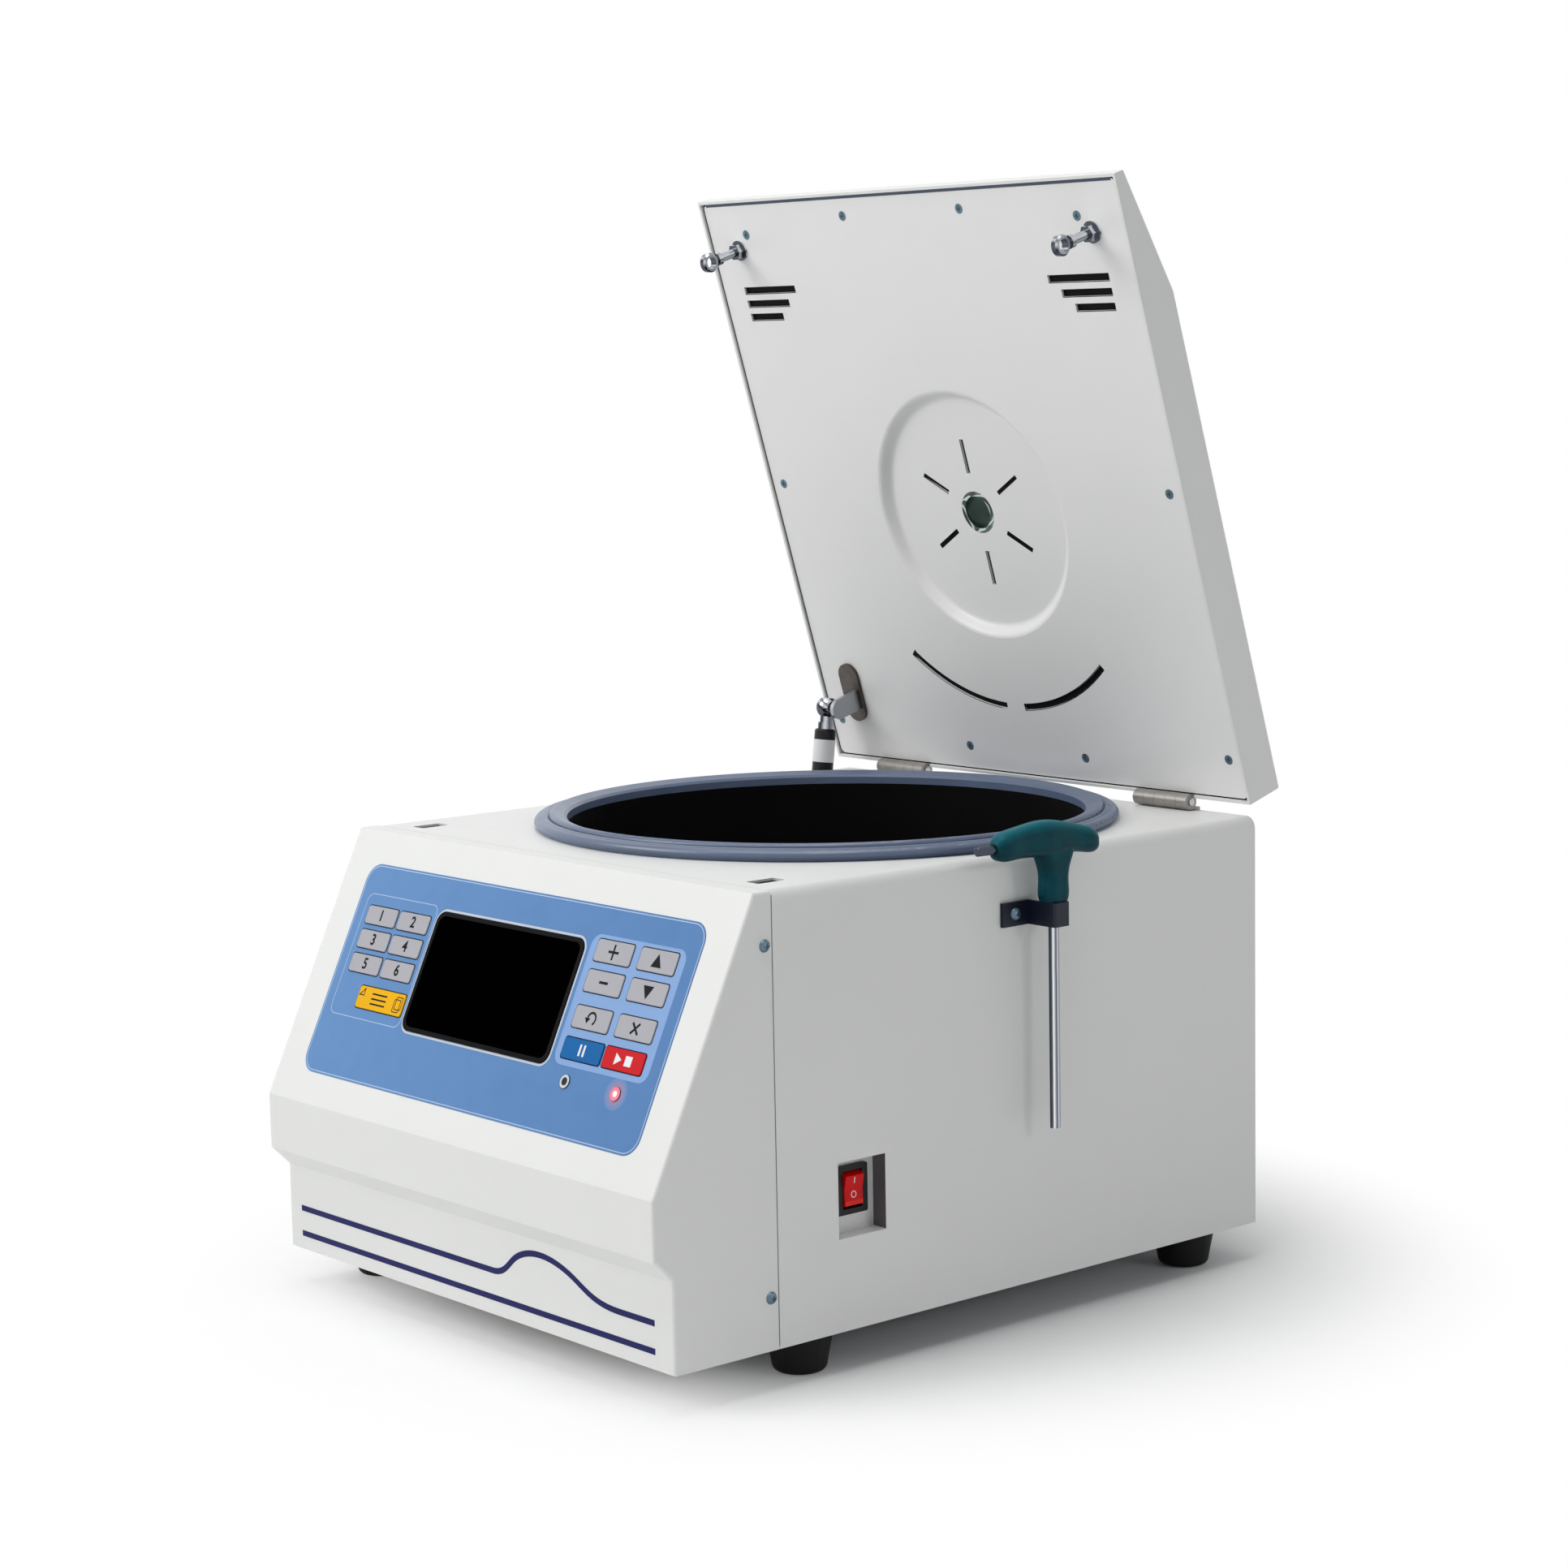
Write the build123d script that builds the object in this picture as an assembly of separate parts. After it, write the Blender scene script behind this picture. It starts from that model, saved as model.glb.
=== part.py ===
from build123d import *
import math
import os

# Bench centrifuge with a raised lid. The spin axis is Z, the bench is z = 0, the front faces -Y. Millimetres.

# Body
body_width = 420.0
body_height = 281.0
foot_height = 26.0
axis_to_front = 308.5
axis_to_rear = 201.5
seam_setback = 81.0
slope_setback = 67.3
nose_reach = 14.0
nose_low = 71.0
nose_high = 108.0
edge_radius = 8.0
sheet = 1.5
base_sheet = 2.0
fascia_wall = 3.0
seam_gap = 0.5
fit_gap = 0.3

# Feet, from the spin axis
foot_top_radius = 21.5
foot_low_radius = 17.5
front_right_foot = (body_width / 2 - 26.0, -190.0)
front_left_foot = (22.0 - body_width / 2, -249.0)
rear_foot_x = body_width / 2 - 29.0
rear_foot_y = 160.0

# Chamber
ring_edge_gap = 10.5
ring_width = 22.3
ring_outer = body_width / 2 - ring_edge_gap
ring_inner = ring_outer - ring_width
ring_height = 10.5
bead_height = 8.2
bowl_clearance = 96.0
bowl_depth = body_height - bowl_clearance
bowl_corner = 25.0
bowl_flange = 12.0
spindle_hole = 24.0
guard_wall = 6.0
guard_height = 118.0

# Rotor and drive
rotor_radius = 118.0
rotor_top_drop = 62.0
rotor_floor_gap = 15.0
rotor_height = bowl_depth - rotor_top_drop - rotor_floor_gap
rotor_rim = 26.0
rotor_hub = 34.0
rotor_corner = 26.0
tube_count = 6
tube_radius = 14.75
tube_floor = 28.0
tube_depth = rotor_height - tube_floor
tube_seat = 1.2
tube_seat_margin = 2.0
tube_lean = 28.0
tube_mouth_radius = 62.0
shaft_radius = 9.0
motor_radius = 46.0
motor_height = 62.0
plate_side = 190.0
plate_sheet = 4.0
running_gap = 0.05

# Lid
lid_open_angle = 73.0
lid_length = 437.0
lid_depth = 32.6
lid_nose = 10.8
lid_front_run = 87.0
lid_kink = lid_length - lid_front_run
lid_sheet = 2.0
lid_radius = 4.0
liner_sheet = 1.5
liner_recess = 2.0
liner_gap = 1.0
dish_radius = 93.0
dish_floor_radius = 83.0
dish_depth = 7.0
dish_centre = lid_length / 2 - 18.0
window_radius = 15.5

# Hinges
hinge_lift = 6.0
hinge_inset = 7.0
hinge_drop = 2.9
hinge_behind = 1.7
hinge_x = body_width / 2 - 77.0
barrel_radius = 5.5
barrel_length = 50.0
pin_radius = 2.5
leaf_sheet = 2.0
knuckles = 5

# Gas strut, seen from the side, from the hinge axis
strut_x = 26.0 - body_width / 2
strut_open = (-31.4, 44.5)
strut_foot = (-56.0, -156.0)
strut_radius = 8.0
strut_body_length = 90.0
strut_socket = 16.0
rod_radius = 3.0
ball_radius = 5.0
stud_radius = 3.5
eye_bore = 10.5
eye_wall = 3.0

# Latches
striker_x = body_width / 2 - 32.0
striker_v = lid_length - 37.5
striker_hole_drop = 28.5
eye_radius = 7.0
eye_thickness = 6.0
latch_bolt_radius = 3.0
latch_travel = 12.0
slot_length = 22.0
slot_width = 12.0
slot_shift = 2.0

# Control panel, on the slope: x across, t up from the slope's lower edge
panel_width = 363.0
panel_height = 147.0
panel_low = 21.5
panel_radius = 13.0
panel_sheet = 0.6
panel_sink = 0.4
key_gap = 0.3
key_stand = 0.9
key_lip = 1.0
key_lip_reach = 0.8
key_travel = 0.7
screen_x = -7.5
screen_t = 104.0
screen_width = 159.0
screen_height = 82.0
screen_frame = 3.0
lamp_radius = 4.5

# Side switch
pocket_y = -159.0
pocket_width = 39.0
pocket_low = 58.5
pocket_height = 48.0
pocket_depth = 12.0
switch_width = 25.0
switch_height = 31.0
rocker_width = 15.0
rocker_height = 23.0
rocker_tilt = 7.0

# Hex key and its bracket, on the right side
tool_y = -9.0
tool_offset = 18.0
tool_radius = 3.0
tool_low = body_height - 177.0
tool_top = body_height + 22.3
# Grip bar: along Y, drop of its middle below the top, height, width. Stem: rise, depth, width.
grip_bar = ((-52, 14.5, 8, 8), (-50, 14.2, 13.5, 12), (-35, 12.4, 19.5, 15), (-16, 11.6, 22.5, 16),
            (4, 12.2, 21.5, 16), (22, 14.4, 18, 15), (35, 17.4, 13, 13), (37, 17.8, 8, 8))
grip_stem = ((0, 17.5, 14), (2, 19, 15), (13, 19.5, 15), (23, 22.5, 15), (34, 31, 14))
bracket_low = body_height - 46.0
bracket_height = 15.5
bracket_sheet = 2.5

screw_radius = 2.0
screw_head = 4.0
screw_head_height = 2.4
screw_length = 8.0
flat_head = 3.5

# Places worked out from the sizes
half = body_width / 2
base_z = foot_height
top_z = base_z + body_height
front_y = -axis_to_front
rear_y = axis_to_rear
seam_y = front_y + seam_setback
nose_y = front_y - nose_reach
slope_top_y = front_y + slope_setback
hinge_y = rear_y - hinge_inset
hinge_z = top_z + hinge_lift
theta = math.radians(lid_open_angle)
lid_y = hinge_y - hinge_behind * math.cos(theta) + hinge_drop * math.sin(theta)
lid_z = hinge_z + hinge_behind * math.sin(theta) + hinge_drop * math.cos(theta)
slope_rise = body_height - nose_high
slope_run = slope_top_y - nose_y
tool_grip_low = bracket_low + bracket_height + fit_gap
rotor_slope = math.tan(math.radians(tube_lean))
rotor_floor_drop = (rotor_radius - rotor_rim - rotor_hub) * rotor_slope

# Working planes. On the slope and the lid, the local z leaves the visible face.
slope = Plane((0, nose_y, base_z + nose_high), x_dir=(1, 0, 0), z_dir=(0, -slope_rise, slope_run))
lower = Plane((0, front_y, base_z), x_dir=(1, 0, 0), z_dir=(0, -1, 0))
lid = Plane((0, lid_y, lid_z), x_dir=(1, 0, 0), z_dir=(0, -math.sin(theta), -math.cos(theta)))


def side_face(points):
    """A closed face in the plane across the machine, from points (y, z)."""
    return Plane.YZ * make_face(Polyline(*points, close=True))


def across(face, width):
    """A face in the side plane, pulled out to both sides of the centre."""
    return extrude(face, amount=width / 2, dir=(1, 0, 0), both=True)


def ring_solid(points):
    """A body of revolution about the spin axis, from points (radius, z)."""
    return revolve(Plane.XZ * make_face(Polyline(*points, close=True)), Axis.Z)


def rod(start, end, radius):
    """A round bar between two points."""
    line = Vector(*end) - Vector(*start)
    return extrude(Plane(start, z_dir=line) * Circle(radius), amount=line.length)


def block(low, high):
    """A box between two corners."""
    size = [b - a for a, b in zip(low, high)]
    middle = [(a + b) / 2 for a, b in zip(low, high)]
    return Pos(*middle) * Box(*size)


def pad(plane, x, y, width, height, radius, low, high):
    """A rounded rectangle on a plane, from one height to another above it."""
    face = plane.offset(low) * Pos(x, y) * RectangleRounded(width, height, radius)
    return extrude(face, amount=high - low)


def disc(plane, x, y, radius, low, high):
    """A round disc on a plane, from one height to another above it."""
    return extrude(plane.offset(low) * Pos(x, y) * Circle(radius), amount=high - low)


def strip(plane, path, width, low, high):
    """A band of even width with round ends that follows a path drawn on a plane."""
    face = trace(path, line_width=width)
    return extrude(plane.offset(low) * face, amount=high - low)


def screw(plane, x, y, length=screw_length):
    """A pan-head screw driven into a plane."""
    dome = revolve(make_face([
        Line((0, 0), (screw_head, 0)),
        ThreePointArc((screw_head, 0), (screw_head * 0.72, screw_head_height * 0.72), (0, screw_head_height)),
        Line((0, screw_head_height), (0, 0)),
    ]), Axis.Y).rotate(Axis.X, 90)
    cross = Pos(0, 0, screw_head_height) * (Box(3.6, 0.8, 1.6) + Box(0.8, 3.6, 1.6))
    body = dome - cross + Pos(0, 0, -length / 2) * Cylinder(screw_radius, length)
    return plane.location * Pos(x, y) * body


def flat_screw(plane, x, y, depth):
    """A countersunk screw whose head fills a sheet of the given thickness."""
    head = Pos(0, 0, -depth / 2) * Cone(screw_radius, flat_head, depth)
    head += Pos(0, 0, -screw_length / 2) * Cylinder(screw_radius, screw_length)
    cross = Box(3.6, 0.8, 1.6) + Box(0.8, 3.6, 1.6)
    return plane.location * Pos(x, y) * (head - cross)


def save(name, *solids):
    """Writes one sub-part, as one or more solids."""
    shape = solids[0] if len(solids) == 1 else Compound(children=list(solids))
    export_step(shape, f"parts/{name}.step")


# Control panel layout: name, centre x, centre t, width, height
preset_size = (34.5, 12.5)
preset_x = -149.0
preset_t = 133.3
preset_pitch = (37.3, -16.8)
menu_key = (-118.5, 78.0, 53.0, 15.0)
step_size = (36.0, 14.2)
step_x = 101.7
step_t = 140.0
step_pitch = (43.3, -19.8)
recall_t = 97.0
action_size = (39.0, 13.5)
action_x = 102.5
action_t = 76.7
lamp_t = 56.0
sensor_x = 95.5
lamp_x = 146.0


def key_places():
    """Every key on the panel, as name: (x, t, width, height)."""
    places = {}
    for index in range(6):
        x = preset_x + preset_pitch[0] * (index % 2)
        t = preset_t + preset_pitch[1] * (index // 2)
        places[f"key_preset_{index + 1}"] = (x, t, *preset_size)
    places["key_menu"] = menu_key
    for row, names in enumerate((("key_plus", "key_up"), ("key_minus", "key_down"))):
        for column, name in enumerate(names):
            place = (step_x + step_pitch[0] * column, step_t + step_pitch[1] * row)
            places[name] = (*place, *step_size)
    for column, name in enumerate(("key_recall", "key_clear")):
        places[name] = (step_x + step_pitch[0] * column, recall_t, *step_size)
    for column, name in enumerate(("key_standby", "key_run_stop")):
        places[name] = (action_x + (action_size[0] + 2) * column, action_t, *action_size)
    return places


keys = key_places()
key_radius = 2.0
lip_gap = 0.1
board_depth = fascia_wall + key_lip + lip_gap + 3.9
side_screws = ((front_y + 74.8, top_z - 32.5), (front_y + 74.8, base_z + 33.0))
bracket_screw = (tool_y - 18.5, base_z + bracket_low + bracket_height / 2)
lid_screw_places = ((half - 43.0, lid_length - 26.5), (59.0, lid_length - 17.0),
                    (half - 14.5, lid_length / 2 + 2.0), (59.0, 20.5), (half - 13.0, 31.0))
lid_screws = [(x * side, v) for side in (1, -1) for x, v in lid_screw_places]


def fascia_profile():
    return [(seam_y - seam_gap, base_z), (front_y, base_z), (front_y, base_z + nose_low - nose_reach),
            (nose_y, base_z + nose_low), (nose_y, base_z + nose_high), (slope_top_y, top_z),
            (seam_y - seam_gap, top_z)]


def groove_paths():
    """The two trim lines of the lower panel: one straight, one that rises in a wave."""
    left, right = 15 - half, half - 19
    rise = right - 164
    straight = Line((left, 11), (right, 11))
    wave = Line((left, 28.5), (rise, 28.5))
    wave += Spline((rise, 28.5), (rise + 23, 40.5), (rise + 48, 48), (rise + 83, 41), (rise + 131, 28.5),
                   tangents=[(1, 0), (1, 0)])
    wave += Line((rise + 131, 28.5), (right, 28.5))
    return straight, wave


def make_fascia():
    outer = across(side_face(fascia_profile()), body_width)
    sides = [e for e in outer.edges() if abs(abs(e.center().X) - half) < 0.1 and e.center().Y < seam_y - 3]
    top = [e for e in sides if e.center().Z > top_z - 0.1]
    rest = [e for e in sides if e not in top and e.center().Z > base_z + 0.1]
    outer = fillet(top + rest, 2.5)
    void_profile = offset(side_face(fascia_profile()), amount=-fascia_wall, kind=Kind.INTERSECTION)
    void = across(void_profile, body_width - 2 * fascia_wall)
    back = seam_y - seam_gap
    mouth = block((-half + fascia_wall, back - fascia_wall - 1, base_z + fascia_wall),
                  (half - fascia_wall, back + 1, top_z - fascia_wall))
    body = outer - void - mouth
    body -= pad(slope, 0, panel_low + panel_height / 2, panel_width + 0.2, panel_height + 0.2,
                panel_radius, -panel_sink, 5)
    for x, t, width, height in keys.values():
        body -= pad(slope, x, t, width + 2 * key_gap, height + 2 * key_gap, key_radius, -6, 5)
    body -= pad(slope, screen_x, screen_t, screen_width + 0.2, screen_height + 0.2, 8, -6, 5)
    for x in (sensor_x, lamp_x):
        body -= disc(slope, x, lamp_t, lamp_radius + 0.05, -6, 5)
    for path in groove_paths():
        body -= strip(lower, path, 4.0, -1.0, 2)
    for y, z in side_screws:
        body -= rod((-half - 1, y, z), (half + 1, y, z), screw_radius + 0.1)
    return body


def make_membrane():
    body = pad(slope, 0, panel_low + panel_height / 2, panel_width, panel_height, panel_radius,
               -panel_sink, panel_sheet - panel_sink)
    for x, t, width, height in keys.values():
        body -= pad(slope, x, t, width + 2 * key_gap, height + 2 * key_gap, key_radius, -2, 2)
    body -= pad(slope, screen_x, screen_t, screen_width + 0.2, screen_height + 0.2, 8, -2, 2)
    for x in (sensor_x, lamp_x):
        body -= disc(slope, x, lamp_t, lamp_radius + 0.05, -2, 2)
    return body


def make_key(x, t, width, height):
    cap = pad(slope, x, t, width, height, key_radius, -fascia_wall - lip_gap, key_stand)
    cap = chamfer(cap.faces().sort_by(Axis((0, 0, 0), slope.z_dir))[-1].edges(), 0.35)
    lip_low = -fascia_wall - lip_gap - key_lip
    reach = 2 * key_lip_reach
    return cap + pad(slope, x, t, width + reach, height + reach, key_radius, lip_low, lip_low + key_lip)


def make_screen():
    middle = (screen_x, screen_t)
    frame = pad(slope, *middle, screen_width, screen_height, 8, -fascia_wall, 1.0)
    inner = (screen_width - 2 * screen_frame, screen_height - 2 * screen_frame)
    frame -= pad(slope, *middle, *inner, 6, -fascia_wall - 1, 2)
    glass = pad(slope, *middle, inner[0] - 0.1, inner[1] - 0.1, 6, -fascia_wall, 0.6)
    return frame, glass


def make_board():
    """Circuit board behind the panel, with a switch under each key and the screen's module."""
    low, high = -board_depth - 1.6, -board_depth
    board = pad(slope, 0, screen_t, panel_width - 19, 120, 4, low, high)
    for x, t, width, height in keys.values():
        board += pad(slope, x, t, 6, 6, 0.5, high, high + 3.0)
    for x in (sensor_x, lamp_x):
        board += disc(slope, x, lamp_t, 2.5, high, -fascia_wall)
    module = pad(slope, screen_x, screen_t, screen_width - 8, screen_height - 8, 3, high, -fascia_wall)
    for x, t in ((-166, 50), (166, 50), (-166, 158), (166, 158)):
        board += disc(slope, x, t, 4, high, -fascia_wall)
    return board, module


def make_housing():
    depth = rear_y - seam_y
    place = Pos(0, (rear_y + seam_y) / 2, base_z + body_height / 2)
    outer = place * Box(body_width, depth, body_height)
    crown = outer.edges().filter_by(Axis.Y).sort_by(Axis.Z)[-2:]
    outer = fillet(crown, edge_radius)
    inner = place * Pos(0, 0, -sheet) * Box(body_width - 2 * sheet, depth + 2, body_height)
    crown = inner.edges().filter_by(Axis.Y).sort_by(Axis.Z)[-2:]
    body = outer - fillet(crown, edge_radius - sheet)
    body -= Pos(0, 0, top_z) * Cylinder(ring_inner + sheet + 1, 20)
    for side in (1, -1):
        body -= pad(Plane.XY.offset(top_z), side * striker_x, latch_y() + slot_shift,
                    slot_width, slot_length, 2, -5, 5)
    body -= pad(Plane.XY.offset(top_z), *strut_slot(), 32, 50, 4, -5, 5)
    wall = half - sheet
    y0, y1 = pocket_y - pocket_width / 2, pocket_y + pocket_width / 2
    z0 = base_z + pocket_low
    z1 = z0 + pocket_height
    tray = block((half - pocket_depth - sheet, y0 - sheet, z0 - sheet), (wall + 0.2, y1 + sheet, z1 + sheet))
    body += tray
    body -= block((half - pocket_depth, y0, z0), (half + 5, y1, z1))
    body -= rocker_place() * Box(30, switch_width - 3, switch_height - 3)
    for side in (1, -1):
        inner_x = side * (half - fascia_wall - 0.2)
        x0, x1 = sorted((inner_x, side * wall))
        body += block((x0, seam_y, base_z + 12), (x1, seam_y + 6, top_z - 15))
        x0, x1 = sorted((inner_x, inner_x - side * sheet))
        body += block((x0, seam_y - 15, base_z + 12), (x1, seam_y + 6, top_z - 15))
    for y, z in side_screws:
        body -= rod((-half - 1, y, z), (half + 1, y, z), screw_radius + 0.1)
    y, z = bracket_screw
    body -= rod((half - 9, y, z), (half + 1, y, z), screw_radius + 0.1)
    return body


def latch_y():
    """Where the strikers stand when the lid is shut."""
    return hinge_y - hinge_behind - striker_v


def strut_slot():
    return strut_x + 3, hinge_y - 46


def rocker_place():
    z = base_z + pocket_low + pocket_height / 2 + 3
    return Pos(half - pocket_depth, pocket_y, z)


def make_rear():
    inner = (body_width - 2 * sheet - 0.4, body_height - sheet - base_sheet - 0.4)
    middle = (0, rear_y - sheet - 0.1, base_z + base_sheet + 0.2 + inner[1] / 2)
    plane = Plane(middle, x_dir=(-1, 0, 0), z_dir=(0, 1, 0))
    plate = pad(plane, 0, 0, *inner, 6.3, -sheet, 0)
    for row in range(9):
        for side in (1, -1):
            plate -= pad(plane, side * 125, 20 + row * 9, 90, 4, 1.9, -5, 5)
    plate -= disc(plane, *fan_place(), 40, -5, 5)
    for angle in range(0, 180, 45):
        plate += plane.offset(-sheet / 2) * Pos(*fan_place()) * Rot(0, 0, angle) * Box(81, 3, sheet)
    for radius in (14, 27):
        hoop = disc(plane, *fan_place(), radius + 1.5, -sheet, 0)
        plate += hoop - disc(plane, *fan_place(), radius - 1.5, -5, 5)
    plate -= pad(plane, *inlet_place(), 28.4, 20.4, 2, -5, 5)
    return plate, plane


def fan_place():
    return -110, -70


def inlet_place():
    return 130, -95


def make_base():
    depth = (seam_y + 1, rear_y - sheet - 2)
    side = half - sheet - 0.2
    plate = block((-side, depth[0], base_z), (side, depth[1], base_z + base_sheet))
    for s in (1, -1):
        x = sorted((s * side, s * (side - base_sheet)))
        plate += block((x[0], depth[0], base_z), (x[1], depth[1], base_z + 11))
    for row in range(7):
        for s in (1, -1):
            plate -= pad(Plane.XY.offset(base_z), s * 110, -100 + row * 12, 80, 5, 2.4, -5, 5)
    reach = side - 6
    low = base_z + fascia_wall + 0.2
    plate += block((-reach, front_y + fascia_wall + 1, low), (reach, seam_y + 6, low + base_sheet))
    return plate + block((-reach, seam_y + 4, base_z), (reach, seam_y + 6, low + base_sheet))


def foot_places():
    return [front_left_foot, front_right_foot, (rear_foot_x, rear_foot_y), (-rear_foot_x, rear_foot_y)]


def make_foot(x, y):
    profile = make_face([
        Line((0, 0), (foot_low_radius - 5, 0)),
        ThreePointArc((foot_low_radius - 5, 0), (foot_low_radius - 1.4, 1.5), (foot_low_radius, 5)),
        Line((foot_low_radius, 5), (foot_top_radius, foot_height)),
        Line((foot_top_radius, foot_height), (0, foot_height)),
        Line((0, foot_height), (0, 0)),
    ])
    body = revolve(profile, Axis.Y).rotate(Axis.X, 90)
    body -= Cylinder(6, 16) + Cylinder(2.6, 80)
    return Pos(x, y) * body


def make_foot_screw(x, y):
    plane = Plane((x, y, 8), x_dir=(1, 0, 0), z_dir=(0, 0, -1))
    top = foot_height + (fascia_wall + base_sheet if y < seam_y else base_sheet)
    return screw(plane, 0, 0, top - 8 + 1)


def make_ring():
    floor = top_z + sheet + 0.1
    groove = ring_inner + 12
    flange = ring_inner + bowl_flange + 1
    profile = make_face([
        Line((ring_inner, floor), (ring_inner, top_z + 6.5)),
        Line((ring_inner, top_z + 6.5), (ring_inner + 2, top_z + 8.2)),
        Line((ring_inner + 2, top_z + 8.2), (groove - 3, top_z + ring_height)),
        ThreePointArc((groove - 3, top_z + ring_height), (groove - 1, top_z + ring_height - 0.6),
                      (groove, top_z + bead_height - 1.4)),
        ThreePointArc((groove, top_z + bead_height - 1.4), (groove + 3, top_z + bead_height),
                      (ring_outer - 4, top_z + bead_height - 0.8)),
        ThreePointArc((ring_outer - 4, top_z + bead_height - 0.8), (ring_outer - 0.6, top_z + 5.6),
                      (ring_outer, top_z + 3.4)),
        Line((ring_outer, top_z + 3.4), (ring_outer - 2.5, top_z + 0.1)),
        Line((ring_outer - 2.5, top_z + 0.1), (flange, top_z + 0.1)),
        Line((flange, top_z + 0.1), (flange, floor)),
        Line((flange, floor), (ring_inner, floor)),
    ])
    return revolve(Plane.XZ * profile, Axis.Z)


def make_bowl():
    outer = ring_inner + sheet - 0.6
    inner = outer - sheet
    low = top_z - bowl_depth
    rim = top_z + sheet
    corner = bowl_corner
    bend = corner - sheet
    k = 1 - math.sqrt(0.5)
    profile = make_face([
        Line((spindle_hole, low - sheet), (outer - corner, low - sheet)),
        ThreePointArc((outer - corner, low - sheet), (outer - corner * k, low - sheet + corner * k),
                      (outer, low - sheet + corner)),
        Line((outer, low - sheet + corner), (outer, top_z)),
        Line((outer, top_z), (ring_inner + bowl_flange, top_z)),
        Line((ring_inner + bowl_flange, top_z), (ring_inner + bowl_flange, rim)),
        Line((ring_inner + bowl_flange, rim), (inner, rim)),
        Line((inner, rim), (inner, low + bend)),
        ThreePointArc((inner, low + bend), (inner - bend * k, low + bend * k), (inner - bend, low)),
        Line((inner - bend, low), (spindle_hole + sheet, low)),
        Line((spindle_hole + sheet, low), (spindle_hole + sheet, low + 10)),
        Line((spindle_hole + sheet, low + 10), (spindle_hole, low + 10)),
        Line((spindle_hole, low + 10), (spindle_hole, low - sheet)),
    ])
    return revolve(Plane.XZ * profile, Axis.Z)


def guard_low():
    return top_z - sheet - guard_height


def make_guard():
    """Steel ring round the bowl, on four legs that stand on the base sheet."""
    inner = ring_inner + sheet + 3
    outer = inner + guard_wall
    low = guard_low()
    high = low + guard_height - fit_gap
    ring = ring_solid([(inner, low), (outer, low), (outer, high), (inner, high)])
    middle = inner + guard_wall / 2
    for angle in (40, 140, 220, 320):
        a = math.radians(angle)
        x, y = middle * math.cos(a), middle * math.sin(a)
        ring += block((x - 2.5, y - 2.5, base_z + base_sheet), (x + 2.5, y + 2.5, low + 1))
    return ring


def bowl_floor():
    return top_z - bowl_depth


def rotor_seat():
    return top_z - rotor_top_drop - rotor_height


def plate_z():
    """Top of the motor plate, a little under the bowl."""
    return bowl_floor() - sheet - 8


def make_plate():
    plate = pad(Plane.XY.offset(plate_z() - plate_sheet), 0, 0, plate_side, plate_side, 12, 0, plate_sheet)
    plate -= Pos(0, 0, plate_z()) * Cylinder(shaft_radius + 6, 30)
    for x, y in mount_places():
        plate -= Pos(x, y, plate_z()) * Cylinder(4.2, 30)
    return plate


def mount_places():
    d = plate_side / 2 - 18
    return [(x, y) for x in (d, -d) for y in (d, -d)]


def make_mount(x, y):
    """Rubber damper post between the base sheet and the motor plate."""
    low = base_z + base_sheet
    high = plate_z() - plate_sheet
    waist = (low + high) / 2
    profile = make_face([
        Line((0, low), (13, low)),
        ThreePointArc((13, low), (9, waist), (13, high)),
        Line((13, high), (0, high)),
        Line((0, high), (0, low)),
    ])
    post = revolve(Plane.XZ * profile, Axis.Z) + Pos(0, 0, high + 4) * Cylinder(4, 10)
    return Pos(x, y) * post


def make_motor():
    high = plate_z() - plate_sheet
    low = high - motor_height
    bore = shaft_radius + running_gap
    cap = motor_radius - 8
    body = ring_solid([(bore, low), (cap, low), (cap, low + 2), (motor_radius, low + 2), (motor_radius, high),
                       (bore, high)])
    for index in range(12):
        a = 30 * index
        body += Rot(0, 0, a) * block((motor_radius - 1, -1.5, low + 8), (motor_radius + 5, 1.5, high - 8))
    return body


def make_spindle():
    low = plate_z() - plate_sheet - motor_height + 4
    seat = rotor_seat()
    top = seat + 20
    radius = shaft_radius
    body = ring_solid([(0, low), (radius, low), (radius, seat), (radius - 2, top), (0, top)])
    return body - Pos(0, 0, seat + 12) * Cylinder(3.0, 18)


def make_rotor():
    """Fixed-angle rotor. Its dished top is square to the tube bores."""
    low = rotor_seat()
    high = low + rotor_height
    rim = rotor_radius - rotor_rim
    floor = high - rotor_floor_drop
    body = ring_solid([(0, low), (rotor_radius - rotor_corner, low), (rotor_radius, low + rotor_corner),
                       (rotor_radius, high - 12), (rotor_radius - 12, high), (rim, high), (rotor_hub, floor),
                       (0, floor)])
    up = (Align.CENTER, Align.CENTER, Align.MIN)
    bore = shaft_radius + running_gap
    body -= Pos(0, 0, low) * Cone(bore, bore - 2, 20, align=up)
    body -= Pos(0, 0, low + 18) * Cylinder(4.2, rotor_height, align=up)
    for index in range(tube_count):
        body -= tube_bore(index)
    return body


def tube_axis(index):
    """Mouth centre and outward axis of one tube bore."""
    a = 2 * math.pi * (index + 0.5) / tube_count
    lean = math.radians(tube_lean)
    high = rotor_seat() + rotor_height
    rise = high - (rotor_radius - rotor_rim - tube_mouth_radius) * rotor_slope
    mouth = Vector(tube_mouth_radius * math.cos(a), tube_mouth_radius * math.sin(a), rise)
    return mouth, Vector(-math.sin(lean) * math.cos(a), -math.sin(lean) * math.sin(a), math.cos(lean))


def tube_bore(index):
    """Blind bore with a flat round seat at its mouth."""
    mouth, axis = tube_axis(index)
    seat = mouth - axis * tube_seat
    return rod(mouth - axis * tube_depth, mouth + axis, tube_radius) + rod(
        seat, mouth + axis * 12, tube_radius + tube_seat_margin)


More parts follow.
